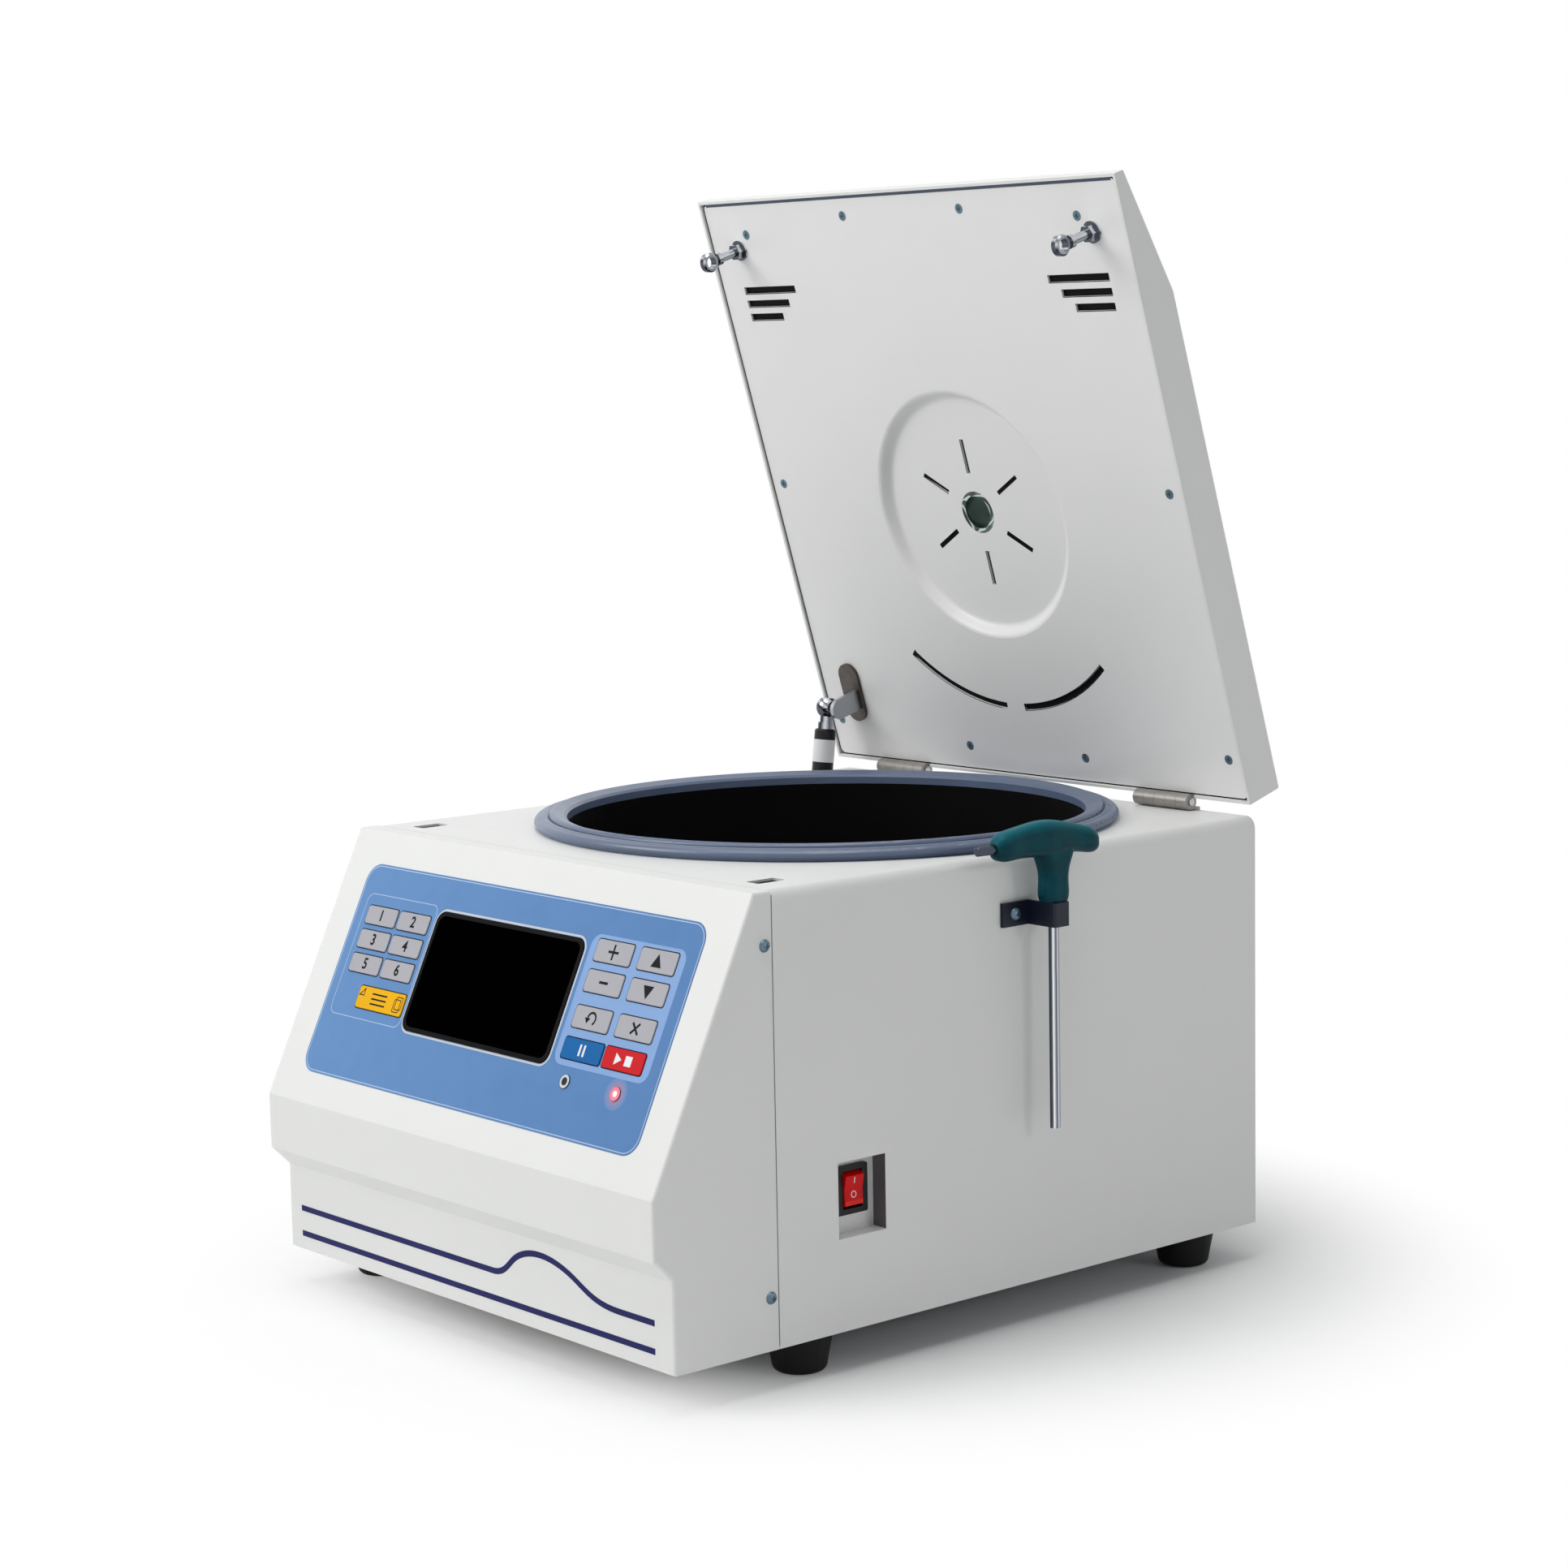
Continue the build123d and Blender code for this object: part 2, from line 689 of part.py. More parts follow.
def make_rotor_screw():
    low = rotor_seat()
    top = low + rotor_height - rotor_floor_drop
    head = Pos(0, 0, top + 4) * Cylinder(8, 8)
    socket = Plane.XY.offset(top + 3) * RegularPolygon(tool_radius + 0.1, 6, major_radius=False)
    length = top - low - 6
    return head - extrude(socket, amount=10) + Pos(0, 0, top - length / 2) * Cylinder(2.95, length)


def lid_profile():
    """Side of the lid as (v, height outwards from the rim)."""
    return [(0, 0), (lid_length, 0), (lid_length, lid_nose), (lid_kink, lid_depth), (0, lid_depth)]


def lid_block(inset, extra=0.0):
    """The lid's outer form, drawn in by an inset, and run past the rim by extra."""
    face = make_face(Polyline(*lid_profile(), close=True))
    if inset:
        face = offset(face, amount=-inset, kind=Kind.INTERSECTION)
        skirt = Rectangle(lid_length - 2 * inset, extra + inset + 2)
        face = face.faces()[0] + Pos(lid_length / 2, 1 + (inset - extra) / 2) * skirt
    start = lid.from_local_coords((half - inset, 0, 0))
    plane = Plane(start, x_dir=lid.y_dir, z_dir=-lid.x_dir)
    return extrude(plane * face, amount=body_width - 2 * inset)


def make_lid_shell():
    outer = lid_block(0)
    crown = []
    for edge in outer.edges():
        if all(lid.to_local_coords(v.center()).Z < -lid_nose + 0.1 for v in edge.vertices()):
            crown.append(edge)
    outer = fillet(crown, lid_radius)
    void = lid_block(lid_sheet, 4)
    body = outer - void
    for x, v in lid_screws:
        post = disc(lid, x, v, 4.5, -lid_depth + 1, -liner_recess - liner_sheet)
        body += post & lid_block(lid_sheet - 0.4, 0)
        body -= disc(lid, x, v, screw_radius + 0.1, -liner_recess - liner_sheet - screw_length, 5)
    for side in (1, -1):
        body -= hinge_cut(side)
    body -= disc(lid, 0, dish_centre, window_radius - 2, -lid_depth - 5, -lid_depth + 5)
    return body


def hinge_cut(side):
    x = side * hinge_x
    reach = barrel_length / 2 + 1
    return rod((x - reach, hinge_y, hinge_z), (x + reach, hinge_y, hinge_z), barrel_radius + 0.6)


def make_liner():
    """Lid lining sheet with its pressed dish, vents and window hole."""
    face_high = -liner_recess
    margin = lid_sheet + liner_gap
    mid = lid_length / 2
    size = (body_width - 2 * margin, lid_length - 2 * margin)
    body = pad(lid, 0, mid, *size, 4, face_high - liner_sheet, face_high)
    body -= disc(lid, 0, dish_centre, dish_radius - 0.5, -20, 5)
    s, d = liner_sheet, dish_depth
    rim, floor = dish_radius, dish_floor_radius
    profile = make_face([
        Line((0, -s), (0, -s - d)),
        Line((0, -s - d), (floor, -s - d)),
        Spline((floor, -s - d), (rim, -s), tangents=[(1, 0), (1, 0)]),
        Line((rim, -s), (rim, 0)),
        Spline((rim, 0), (floor, -d), tangents=[(-1, 0), (-1, 0)]),
        Line((floor, -d), (0, -d)),
        Line((0, -d), (0, -s)),
    ])
    centre = lid.location * Pos(0, dish_centre, face_high)
    body += centre * revolve(Plane.XZ * profile, Axis.Z)
    body -= disc(lid, 0, dish_centre, window_radius, -30, 5)
    for index in range(6):
        a = math.radians(90 + 60 * index)
        ends = [(r * math.cos(a), dish_centre + r * math.sin(a)) for r in (29, 54)]
        body -= strip(lid, Line(*ends), 2.5, -30, 5)
    for start, end in ((-86.5, -48.5), (-131.5, -93.5)):
        arc = CenterArc((0, dish_centre), 145, start, end - start)
        body -= strip(lid, arc, 4.5, -30, 5)
    for side in (1, -1):
        for row, inner_x in enumerate((128, 138, 148)):
            line = Line((side * inner_x, 369 - 10 * row), (side * 184, 369 - 10 * row))
            body -= strip(lid, line, 4.6, -30, 5)
        body -= disc(lid, side * striker_x, striker_v, 3.2, -30, 5)
    for x, v in lid_screws:
        hole = Cone(screw_radius + 0.1, flat_head + 0.1, liner_sheet)
        body -= lid.location * Pos(x, v, face_high - liner_sheet / 2) * hole
    return body


def make_window():
    """Tube and clear pane of the sight hole, from the dish to the outside."""
    low, high = -lid_depth - 0.6, -liner_recess - dish_depth
    tube = disc(lid, 0, dish_centre, window_radius - 2.1, low, -lid_depth + lid_sheet)
    tube += disc(lid, 0, dish_centre, window_radius - 0.1, -lid_depth + lid_sheet, high)
    return tube - disc(lid, 0, dish_centre, window_radius - 3.5, low + 2.5, high + 1)


def make_striker(side):
    """Eye bolt that enters a top slot when the lid shuts."""
    x, v = side * striker_x, striker_v
    base = -liner_recess
    body = disc(lid, x, v, 7.5, base, base + 1.2)
    body += extrude(lid.offset(base + 1.2) * Pos(x, v) * RegularPolygon(6, 6), amount=5)
    body += disc(lid, x, v, 3.2, base - 8, striker_hole_drop - eye_radius + 1)
    body += disc(lid, x, v, 4.6, striker_hole_drop - eye_radius - 3.5, striker_hole_drop - eye_radius)
    start = lid.from_local_coords((x - eye_thickness / 2, v, striker_hole_drop))
    eye = extrude(Plane(start, z_dir=(1, 0, 0)) * Circle(eye_radius), amount=eye_thickness)
    eye = chamfer(eye.edges().filter_by(GeomType.CIRCLE), 1.2)
    body += eye
    body -= extrude(Plane(start, z_dir=(1, 0, 0)).offset(-5) * Circle(latch_bolt_radius + 1.2), amount=20)
    nut = extrude(lid.offset(base - liner_sheet - 4) * Pos(x, v) * RegularPolygon(5.5, 6), amount=4)
    return body + nut


def latch_z():
    return hinge_z + hinge_drop - striker_hole_drop


def make_latch(side):
    """Frame hung under a top slot, open above, with holes for the bolt."""
    y, z = latch_y(), latch_z()
    x = striker_x
    low, high = (x - 14, y - 13, z - 14), (x + 12, y + 18, top_z - sheet)
    body = block(low, high)
    body -= block((x - 12, y - 11, z - 12), (x + 10, y + 16, top_z + 1))
    body -= rod((x - 20, y, z), (x + 20, y, z), latch_bolt_radius + running_gap)
    solid = body if side > 0 else mirror(body, Plane.YZ)
    return solid


def make_latch_bolt(side):
    """Sliding bolt, drawn back beside the slot while the lid is open."""
    y, z = latch_y(), latch_z()
    tip = striker_x - eye_thickness / 2 - 1.5
    body = rod((tip - 46, y, z), (tip, y, z), latch_bolt_radius)
    body = chamfer(body.edges().sort_by(Axis.X)[-1], 0.8)
    return body if side > 0 else mirror(body, Plane.YZ)


def make_solenoid(side):
    y, z = latch_y(), latch_z()
    high = striker_x - 14 - 0.2
    body = rod((high - 30, y, z), (high, y, z), 11)
    body = chamfer(body.edges().filter_by(GeomType.CIRCLE), 1)
    body -= rod((high - 31, y, z), (high + 1, y, z), latch_bolt_radius + running_gap)
    return body if side > 0 else mirror(body, Plane.YZ)


def knuckle(side, index, reach=barrel_radius):
    pitch = barrel_length / knuckles
    x = side * hinge_x - barrel_length / 2 + pitch * index
    return rod((x + 0.1, hinge_y, hinge_z), (x + pitch - 0.1, hinge_y, hinge_z), reach)


def make_body_leaf(side):
    x0, x1 = side * hinge_x - barrel_length / 2, side * hinge_x + barrel_length / 2
    back = rear_y + 0.05
    leaf = block((x0, hinge_y + 4.3, top_z + 0.05), (x1, back + leaf_sheet, top_z + 0.05 + leaf_sheet))
    leaf += block((x0, back, top_z - 42), (x1, back + leaf_sheet, top_z + 0.05 + leaf_sheet))
    for index in range(0, knuckles, 2):
        pitch = barrel_length / knuckles
        a = x0 + pitch * index + 0.1
        leaf += block((a, hinge_y, top_z + 0.6), (a + pitch - 0.2, hinge_y + 5, top_z + leaf_sheet))
        leaf += knuckle(side, index)
    return leaf - knuckle_bore(side)


def knuckle_bore(side):
    reach = barrel_length / 2 + 2
    x = side * hinge_x
    return rod((x - reach, hinge_y, hinge_z), (x + reach, hinge_y, hinge_z), pin_radius + running_gap)


def make_lid_leaf(side):
    """Leaf on the back of the lid's rear wall. Local y runs up the lid, z towards the chamber."""
    x = side * hinge_x
    place = lid.location
    reach = barrel_length / 2
    plate = place * block((x - reach, -leaf_sheet - 0.05, -28), (x + reach, -0.05, -4.5))
    for index in range(1, knuckles, 2):
        pitch = barrel_length / knuckles
        a = x - reach + pitch * index + 0.1
        plate += place * block((a, -leaf_sheet - 0.05, -5), (a + pitch - 0.2, -0.05, 1.5))
        plate += knuckle(side, index)
    return plate - knuckle_bore(side)


def make_hinge_pin(side):
    reach = barrel_length / 2 + 1
    x = side * hinge_x
    return rod((x - reach, hinge_y, hinge_z), (x + reach, hinge_y, hinge_z), pin_radius)


strut_a = Vector(strut_x, hinge_y + strut_open[0], hinge_z + strut_open[1])
strut_b = Vector(strut_x, hinge_y + strut_foot[0], hinge_z + strut_foot[1])
strut_way = (strut_b - strut_a).normalized()
strut_plane = Plane(strut_a, x_dir=(1, 0, 0), z_dir=strut_way)


def make_strut_cylinder():
    start = strut_socket
    body = extrude(strut_plane.offset(start) * Circle(strut_radius), amount=strut_body_length)
    body = chamfer(body.edges().filter_by(GeomType.CIRCLE), 1.2)
    body -= extrude(strut_plane.offset(start + 6) * Circle(strut_radius - 1.5), amount=strut_body_length - 10)
    mouth = strut_plane.offset(start + 10) * Circle(rod_radius + running_gap)
    return body - extrude(mouth, amount=strut_body_length)


def make_strut_socket():
    """Chromed ball socket at the lid end of the strut."""
    outline = make_face([
        Line((0, -7.5), (4.5, -7.5)),
        ThreePointArc((4.5, -7.5), (8.2, -0.5), (4.6, 6.5)),
        Line((4.6, 6.5), (4.6, strut_socket - 5)),
        Line((4.6, strut_socket - 5), (5.8, strut_socket - 5)),
        Line((5.8, strut_socket - 5), (5.8, strut_socket)),
        Line((5.8, strut_socket), (0, strut_socket)),
        Line((0, strut_socket), (0, -7.5)),
    ])
    body = strut_plane.location * revolve(Plane.XZ * outline, Axis.Z)
    start = strut_a - Vector(ball_radius + 1, 0, 0)
    return body - rod(start, start + Vector(20, 0, 0), ball_radius + fit_gap)


def make_strut_rod():
    length = (strut_b - strut_a).length
    top = strut_socket + strut_body_length - 19
    rod_body = extrude(strut_plane.offset(top) * Circle(rod_radius), amount=length - eye_bore - 1 - top)
    piston = extrude(strut_plane.offset(top) * Circle(strut_radius - 1.6), amount=5)
    eye = Plane(strut_b - Vector(4, 0, 0), z_dir=(1, 0, 0))
    ring = extrude(eye * Circle(eye_bore + eye_wall), amount=8)
    return rod_body + piston + ring - extrude(eye.offset(-1) * Circle(eye_bore), amount=10)


def make_strut_lid_bracket():
    """Foot plate on the lining with an upright ear that carries the ball stud."""
    local = lid.to_local_coords(strut_a)
    base = -liner_recess
    plate = pad(lid, strut_x + 9, local.Y + 5, 20, 46, 9.9, base, base + 2.5)
    ear_x = strut_x + 12
    face = Plane(lid.from_local_coords((ear_x, local.Y, 0)), x_dir=lid.y_dir, z_dir=lid.x_dir)
    ear = extrude(face * Pos(0, local.Z / 2) * Rectangle(15, local.Z + 5), amount=3.5)
    ear += extrude(face * Pos(0, local.Z) * Circle(7.5), amount=3.5)
    ear &= lid.location * block((-300, -50, base), (300, 300, 60))
    stud = rod(strut_a, strut_a + Vector(13, 0, 0), 2.6)
    return plate + ear + stud + Pos(*strut_a) * Sphere(ball_radius)


def make_strut_base_bracket():
    """Angle on the inside of the left wall with the stud for the strut's lower eye."""
    wall = -half + sheet + 0.05
    y, z = strut_b.Y, strut_b.Z
    plate = block((wall, y - 18, z - 16), (wall + 3, y + 18, z + 16))
    stud = rod((wall + 2, y, z), (strut_x + 8, y, z), stud_radius)
    head = rod((strut_x + 5, y, z), (strut_x + 8, y, z), eye_bore + 1.5)
    return plate + stud + head


def make_switch():
    place = rocker_place()
    frame = place * Pos(1.5, 0, 0) * Box(3, switch_width, switch_height)
    frame = fillet(frame.edges().filter_by(Axis.X), 1.5)
    frame += place * Pos(-9, 0, 0) * Box(18, switch_width - 3.4, switch_height - 3.4)
    pocket = place * Pos(-1.5, 0, 0) * Box(12, rocker_width + 1, rocker_height + 1)
    return frame - pocket


def make_rocker():
    """Rocker on a cross pin, tipped with its lower half pressed in."""
    pivot = rocker_pivot()
    outline = ((-3, -10.2), (0, -10.8), (4.6, -9.5), (3.4, 0), (4.6, 9.5), (0, 10.8), (-3, 10.2))
    face = make_face(Polyline(*outline, close=True))
    body = extrude(Plane.XZ * face, amount=rocker_width / 2, both=True)
    pin = extrude(Plane.XZ * Circle(1.5), amount=(rocker_width + 0.6) / 2, both=True)
    return Pos(*pivot) * Rot(0, rocker_tilt / 2, 0) * (body + pin)


def rocker_pivot():
    place = rocker_place()
    return place.position.X + 0.4, place.position.Y, place.position.Z


def make_tool_bracket():
    """Flat flange on the wall, a step outwards and a clip round the tool."""
    wall = half
    t = bracket_sheet
    x = wall + tool_offset
    low = base_z + bracket_low
    y0 = tool_y - 29.5
    fin = make_face(Polyline((wall, y0), (wall + t, y0), (wall + t, tool_y - 7), (x + 8, tool_y - 7),
                             (x + 8, tool_y + 7), (x - 8, tool_y + 7), (x - 8, tool_y - 7 + t),
                             (wall, tool_y - 7 + t), close=True))
    body = extrude(Plane.XY.offset(low) * fin, amount=bracket_height)
    bends = [e for e in body.edges().filter_by(Axis.Z) if e.center().X > wall + t + 0.1]
    body = fillet(bends, 2)
    body -= Pos(x, tool_y, low) * Cylinder(tool_radius + 0.6, 80)
    y, z = bracket_screw
    return body - rod((wall - 1, y, z), (wall + 10, y, z), screw_radius + 0.1)


def make_tool_shaft():
    x = half + tool_offset
    hexagon = RegularPolygon(tool_radius, 6, major_radius=False)
    shaft = extrude(Pos(x, tool_y, base_z + tool_low) * hexagon, amount=tool_grip_low + 12 - tool_low)
    z = base_z + tool_top - 14
    bit = rod((x, tool_y - 46, z - 0.4), (x, tool_y - 67, z), tool_radius)
    return shaft, chamfer(bit.edges().sort_by(Axis.Y)[0], 0.8)


def make_tool_handle():
    """Moulded T grip: an arched bar along Y on a stem that narrows downwards."""
    x = half + tool_offset
    low, top = base_z + tool_grip_low, base_z + tool_top
    sections = []
    for y, drop, height, width in grip_bar:
        place = Plane((x, tool_y + y, top - drop), x_dir=(1, 0, 0), z_dir=(0, 1, 0))
        sections.append(place * RectangleRounded(width, height, min(width, height) * 0.4))
    bar = loft(sections)
    sections = []
    for rise, depth, width in grip_stem:
        place = Plane.XY.offset(low + rise) * Pos(x, tool_y)
        sections.append(place * RectangleRounded(width, depth, width * 0.4))
    grip = bar + loft(sections)
    shaft, bit = make_tool_shaft()
    return grip - shaft - bit


def make_fan(plane):
    """Fan frame behind the rear panel's round guard, and its impeller."""
    x, y = fan_place()
    low = -sheet - 25
    frame = pad(plane, x, y, 92, 92, 4, low, -sheet - 0.1)
    frame -= disc(plane, x, y, 43, low - 1, 0)
    for angle in range(0, 180, 60):
        frame += plane.offset(low) * Pos(x, y) * Rot(0, 0, angle) * Pos(0, 0, 1.5) * Box(88, 4, 3)
    frame += disc(plane, x, y, 16, low, low + 3)
    frame += disc(plane, x, y, 2.5, low, low + 18)
    hub = disc(plane, x, y, 17, low + 4, low + 20) - disc(plane, x, y, 2.5 + running_gap, low, low + 19)
    blade = Pos(29, 0, 0) * Rot(32, 0, 0) * Box(26, 1.6, 18)
    for index in range(7):
        hub += plane.offset(low + 12) * Pos(x, y) * Rot(0, 0, index * 360 / 7) * blade
    return frame, hub


def make_inlet(plane):
    x, y = inlet_place()
    body = pad(plane, x, y, 28, 20, 2, -24, 0) + pad(plane, x, y, 50, 23, 4, 0.05, 3)
    body -= pad(plane, x, y, 24, 16.5, 3, -16, 5)
    for dx, dy in ((-7, -1), (0, 3), (7, -1)):
        body += plane.offset(-9) * Pos(x + dx, y + dy) * Box(2, 5, 16)
    return body


def main():
    os.makedirs("parts", exist_ok=True)
    rear, rear_plane = make_rear()
    frame, glass = make_screen()
    fan_frame, impeller = make_fan(rear_plane)
    shaft, bit = make_tool_shaft()
    sides = (1, -1)
    for name, place in keys.items():
        save(name, make_key(*place))
    save("base_plate", make_base() - [Pos(x, y, base_z) * Cylinder(2.2, 40) for x, y in foot_places()])
    save("rubber_feet", *[make_foot(*p) for p in foot_places()])
    save("outer_housing", make_housing())
    save("rear_panel", rear)
    fascia = make_fascia() - Pos(*front_left_foot, base_z) * Cylinder(2.2, 40)
    save("front_fascia", fascia)
    screws = [make_foot_screw(*p) for p in foot_places()]
    for s in sides:
        for y, z in side_screws:
            screws.append(screw(Plane((s * half, y, z), x_dir=(0, s, 0), z_dir=(s, 0, 0)), 0, 0))
    place = Plane((half + bracket_sheet, *bracket_screw), x_dir=(0, 1, 0), z_dir=(1, 0, 0))
    screws.append(screw(place, 0, 0))
    save("body_screws", *screws)
    save("groove_trims", *[strip(lower, path, 3.8, -0.98, 0.15) for path in groove_paths()])
    save("membrane_panel", make_membrane())
    save("display_bezel", frame)
    save("display_window", glass)
    save("control_board", *make_board())
    lenses = [disc(slope, x, lamp_t, lamp_radius, -fascia_wall, 0.8) for x in (sensor_x, lamp_x)]
    save("indicator_lenses", *lenses)
    save("chamber_gasket", make_ring())
    save("chamber_bowl", make_bowl())
    save("guard_ring", make_guard())
    save("motor_plate", make_plate())
    save("vibration_mounts", *[make_mount(*p) for p in mount_places()])
    save("drive_motor", make_motor())
    save("drive_spindle", make_spindle())
    save("rotor", make_rotor())
    save("rotor_screw", make_rotor_screw())
    save("lid_shell", make_lid_shell())
    save("lid_inner_plate", make_liner())
    save("lid_screws", *[flat_screw(lid.offset(-liner_recess), *p, liner_sheet) for p in lid_screws])
    save("viewport_window", make_window())
    save("strikers", *[make_striker(s) for s in sides])
    save("latch_units", *[make_latch(s) for s in sides], *[make_solenoid(s) for s in sides])
    save("latch_bolt_right", make_latch_bolt(1))
    save("latch_bolt_left", make_latch_bolt(-1))
    save("hinge_body_leaves", *[make_body_leaf(s) for s in sides])
    save("hinge_lid_leaves", *[make_lid_leaf(s) for s in sides])
    save("hinge_pins", *[make_hinge_pin(s) for s in sides])
    save("strut_cylinder", make_strut_cylinder())
    save("strut_socket", make_strut_socket())
    save("strut_rod", make_strut_rod())
    save("strut_lid_bracket", make_strut_lid_bracket())
    save("strut_base_bracket", make_strut_base_bracket())
    save("mains_inlet", make_inlet(rear_plane))
    save("fan_frame", fan_frame)
    save("fan_impeller", impeller)
    save("switch_bezel", make_switch())
    save("power_rocker", make_rocker())
    save("tool_bracket", make_tool_bracket())
    save("hex_key_handle", make_tool_handle())
    save("hex_key_shaft", shaft, bit)


main()
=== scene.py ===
import math
import bpy
import bmesh
from mathutils import Matrix, Vector

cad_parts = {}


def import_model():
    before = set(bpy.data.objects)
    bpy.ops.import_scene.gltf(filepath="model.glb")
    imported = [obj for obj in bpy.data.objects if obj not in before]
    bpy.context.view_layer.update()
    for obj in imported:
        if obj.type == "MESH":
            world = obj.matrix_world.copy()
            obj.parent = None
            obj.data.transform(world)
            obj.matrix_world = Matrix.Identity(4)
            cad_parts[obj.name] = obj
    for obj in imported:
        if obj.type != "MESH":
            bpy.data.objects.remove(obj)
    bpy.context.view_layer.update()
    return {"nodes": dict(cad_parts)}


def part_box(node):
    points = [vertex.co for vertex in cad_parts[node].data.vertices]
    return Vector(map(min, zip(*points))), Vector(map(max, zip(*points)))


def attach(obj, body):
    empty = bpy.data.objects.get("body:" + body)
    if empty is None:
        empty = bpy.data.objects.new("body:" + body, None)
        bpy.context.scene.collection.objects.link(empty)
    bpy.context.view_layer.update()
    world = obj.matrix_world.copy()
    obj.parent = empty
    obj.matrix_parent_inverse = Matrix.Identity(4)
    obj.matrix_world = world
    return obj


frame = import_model()
nodes = frame["nodes"]

MM = 0.001

# Angle by which the lid is raised
LEAN = math.radians(73)

scene = bpy.context.scene
scene.view_settings.view_transform = "Standard"


# Camera, at the photograph's place: angles in degrees, place in metres, lens and sensor in mm

CAMERA_TURN = 49.632
CAMERA_RISE = 7.301
CAMERA_ROLL = -1.093
CAMERA_PLACE = (1.7417, -1.5180, 0.6276)
LENS_LENGTH = 78.19
SENSOR_WIDTH = 36


def set_camera():
    """Camera turned from the front towards +X, raised, and rolled a little."""
    turn = math.radians(CAMERA_TURN)
    rise = math.radians(CAMERA_RISE)
    roll = math.radians(CAMERA_ROLL)
    back = Vector((math.sin(turn) * math.cos(rise), -math.cos(turn) * math.cos(rise), math.sin(rise)))
    right = Vector((0, 0, 1)).cross(back).normalized()
    up = back.cross(right)
    x = right * math.cos(roll) + up * math.sin(roll)
    y = up * math.cos(roll) - right * math.sin(roll)
    data = bpy.data.cameras.new("camera")
    data.lens = LENS_LENGTH
    data.sensor_width = SENSOR_WIDTH
    data.clip_start = 0.05
    data.clip_end = 50
    camera = bpy.data.objects.new("camera", data)
    scene.collection.objects.link(camera)
    m = Matrix((x, y, back)).transposed().to_4x4()
    m.translation = CAMERA_PLACE
    camera.matrix_world = m
    scene.camera = camera


set_camera()


# Materials

def srgb(r, g, b):
    """Linear colour with full alpha, from display values of 0 to 255."""
    def channel(v):
        v /= 255
        return v / 12.92 if v <= 0.04045 else ((v + 0.055) / 1.055) ** 2.4
    return (channel(r), channel(g), channel(b), 1.0)


class Finish:
    """A procedural material: colour that varies a little, roughness that varies, and a fine bump."""

    def __init__(self, name):
        self.material = bpy.data.materials.new(name)
        self.material.use_nodes = True
        self.tree = self.material.node_tree
        self.shader = self.tree.nodes["Principled BSDF"]
        self.coords = self.tree.nodes.new("ShaderNodeTexCoord")

    def node(self, kind, **values):
        n = self.tree.nodes.new(kind)
        for key, value in values.items():
            setattr(n, key, value)
        return n

    def link(self, a, b):
        self.tree.links.new(a, b)

    def noise(self, scale, detail=3.0, stretch=(1, 1, 1)):
        mapping = self.node("ShaderNodeMapping")
        mapping.inputs["Scale"].default_value = stretch
        self.link(self.coords.outputs["Object"], mapping.inputs["Vector"])
        n = self.node("ShaderNodeTexNoise")
        n.inputs["Scale"].default_value = scale
        n.inputs["Detail"].default_value = detail
        self.link(mapping.outputs["Vector"], n.inputs["Vector"])
        return n.outputs["Fac"]

    def colour(self, low, high, factor, start=0.3, end=0.7):
        ramp = self.node("ShaderNodeValToRGB")
        ramp.color_ramp.elements[0].position = start
        ramp.color_ramp.elements[1].position = end
        ramp.color_ramp.elements[0].color = low
        ramp.color_ramp.elements[1].color = high
        self.link(factor, ramp.inputs["Fac"])
        self.link(ramp.outputs["Color"], self.shader.inputs["Base Color"])
        return ramp

    def bands(self, stops, factor):
        """A colour ramp through several stops, each a place from 0 to 1 and a colour."""
        ramp = self.colour(stops[0][1], stops[-1][1], factor, stops[0][0], stops[-1][0])
        for place, colour in stops[1:-1]:
            ramp.color_ramp.elements.new(place).color = colour
        return ramp

    def mapped(self, value, from_low=0.0, from_high=1.0, to_low=0.0, to_high=1.0, **values):
        """A value moved from one span to another, and kept within it."""
        span = self.node("ShaderNodeMapRange", **values)
        span.inputs["From Min"].default_value = from_low
        span.inputs["From Max"].default_value = from_high
        span.inputs["To Min"].default_value = to_low
        span.inputs["To Max"].default_value = to_high
        self.link(value, span.inputs["Value"])
        return span.outputs["Result"]

    def scaled(self, value, factor):
        n = self.node("ShaderNodeMath", operation="MULTIPLY")
        n.inputs[1].default_value = factor
        self.link(value, n.inputs[0])
        return n.outputs["Value"]

    def scaled_sum(self, value, factor, other):
        """A value times a factor, plus another value."""
        n = self.node("ShaderNodeMath", operation="MULTIPLY_ADD")
        n.inputs[1].default_value = factor
        self.link(value, n.inputs[0])
        self.link(other, n.inputs[2])
        return n.outputs["Value"]

    def roughness(self, low, high, factor):
        self.link(self.mapped(factor, 0.3, 0.7, low, high), self.shader.inputs["Roughness"])

    def bump(self, factor, strength, distance):
        n = self.node("ShaderNodeBump")
        n.inputs["Strength"].default_value = strength
        n.inputs["Distance"].default_value = distance
        self.link(factor, n.inputs["Height"])
        self.link(n.outputs["Normal"], self.shader.inputs["Normal"])

    def set(self, **values):
        for key, value in values.items():
            self.shader.inputs[key.replace("_", " ")].default_value = value


def shade(colour, amount):
    """A lighter or darker colour, with full alpha."""
    return tuple(min(1.0, c * amount) for c in colour[:3]) + (1.0,)


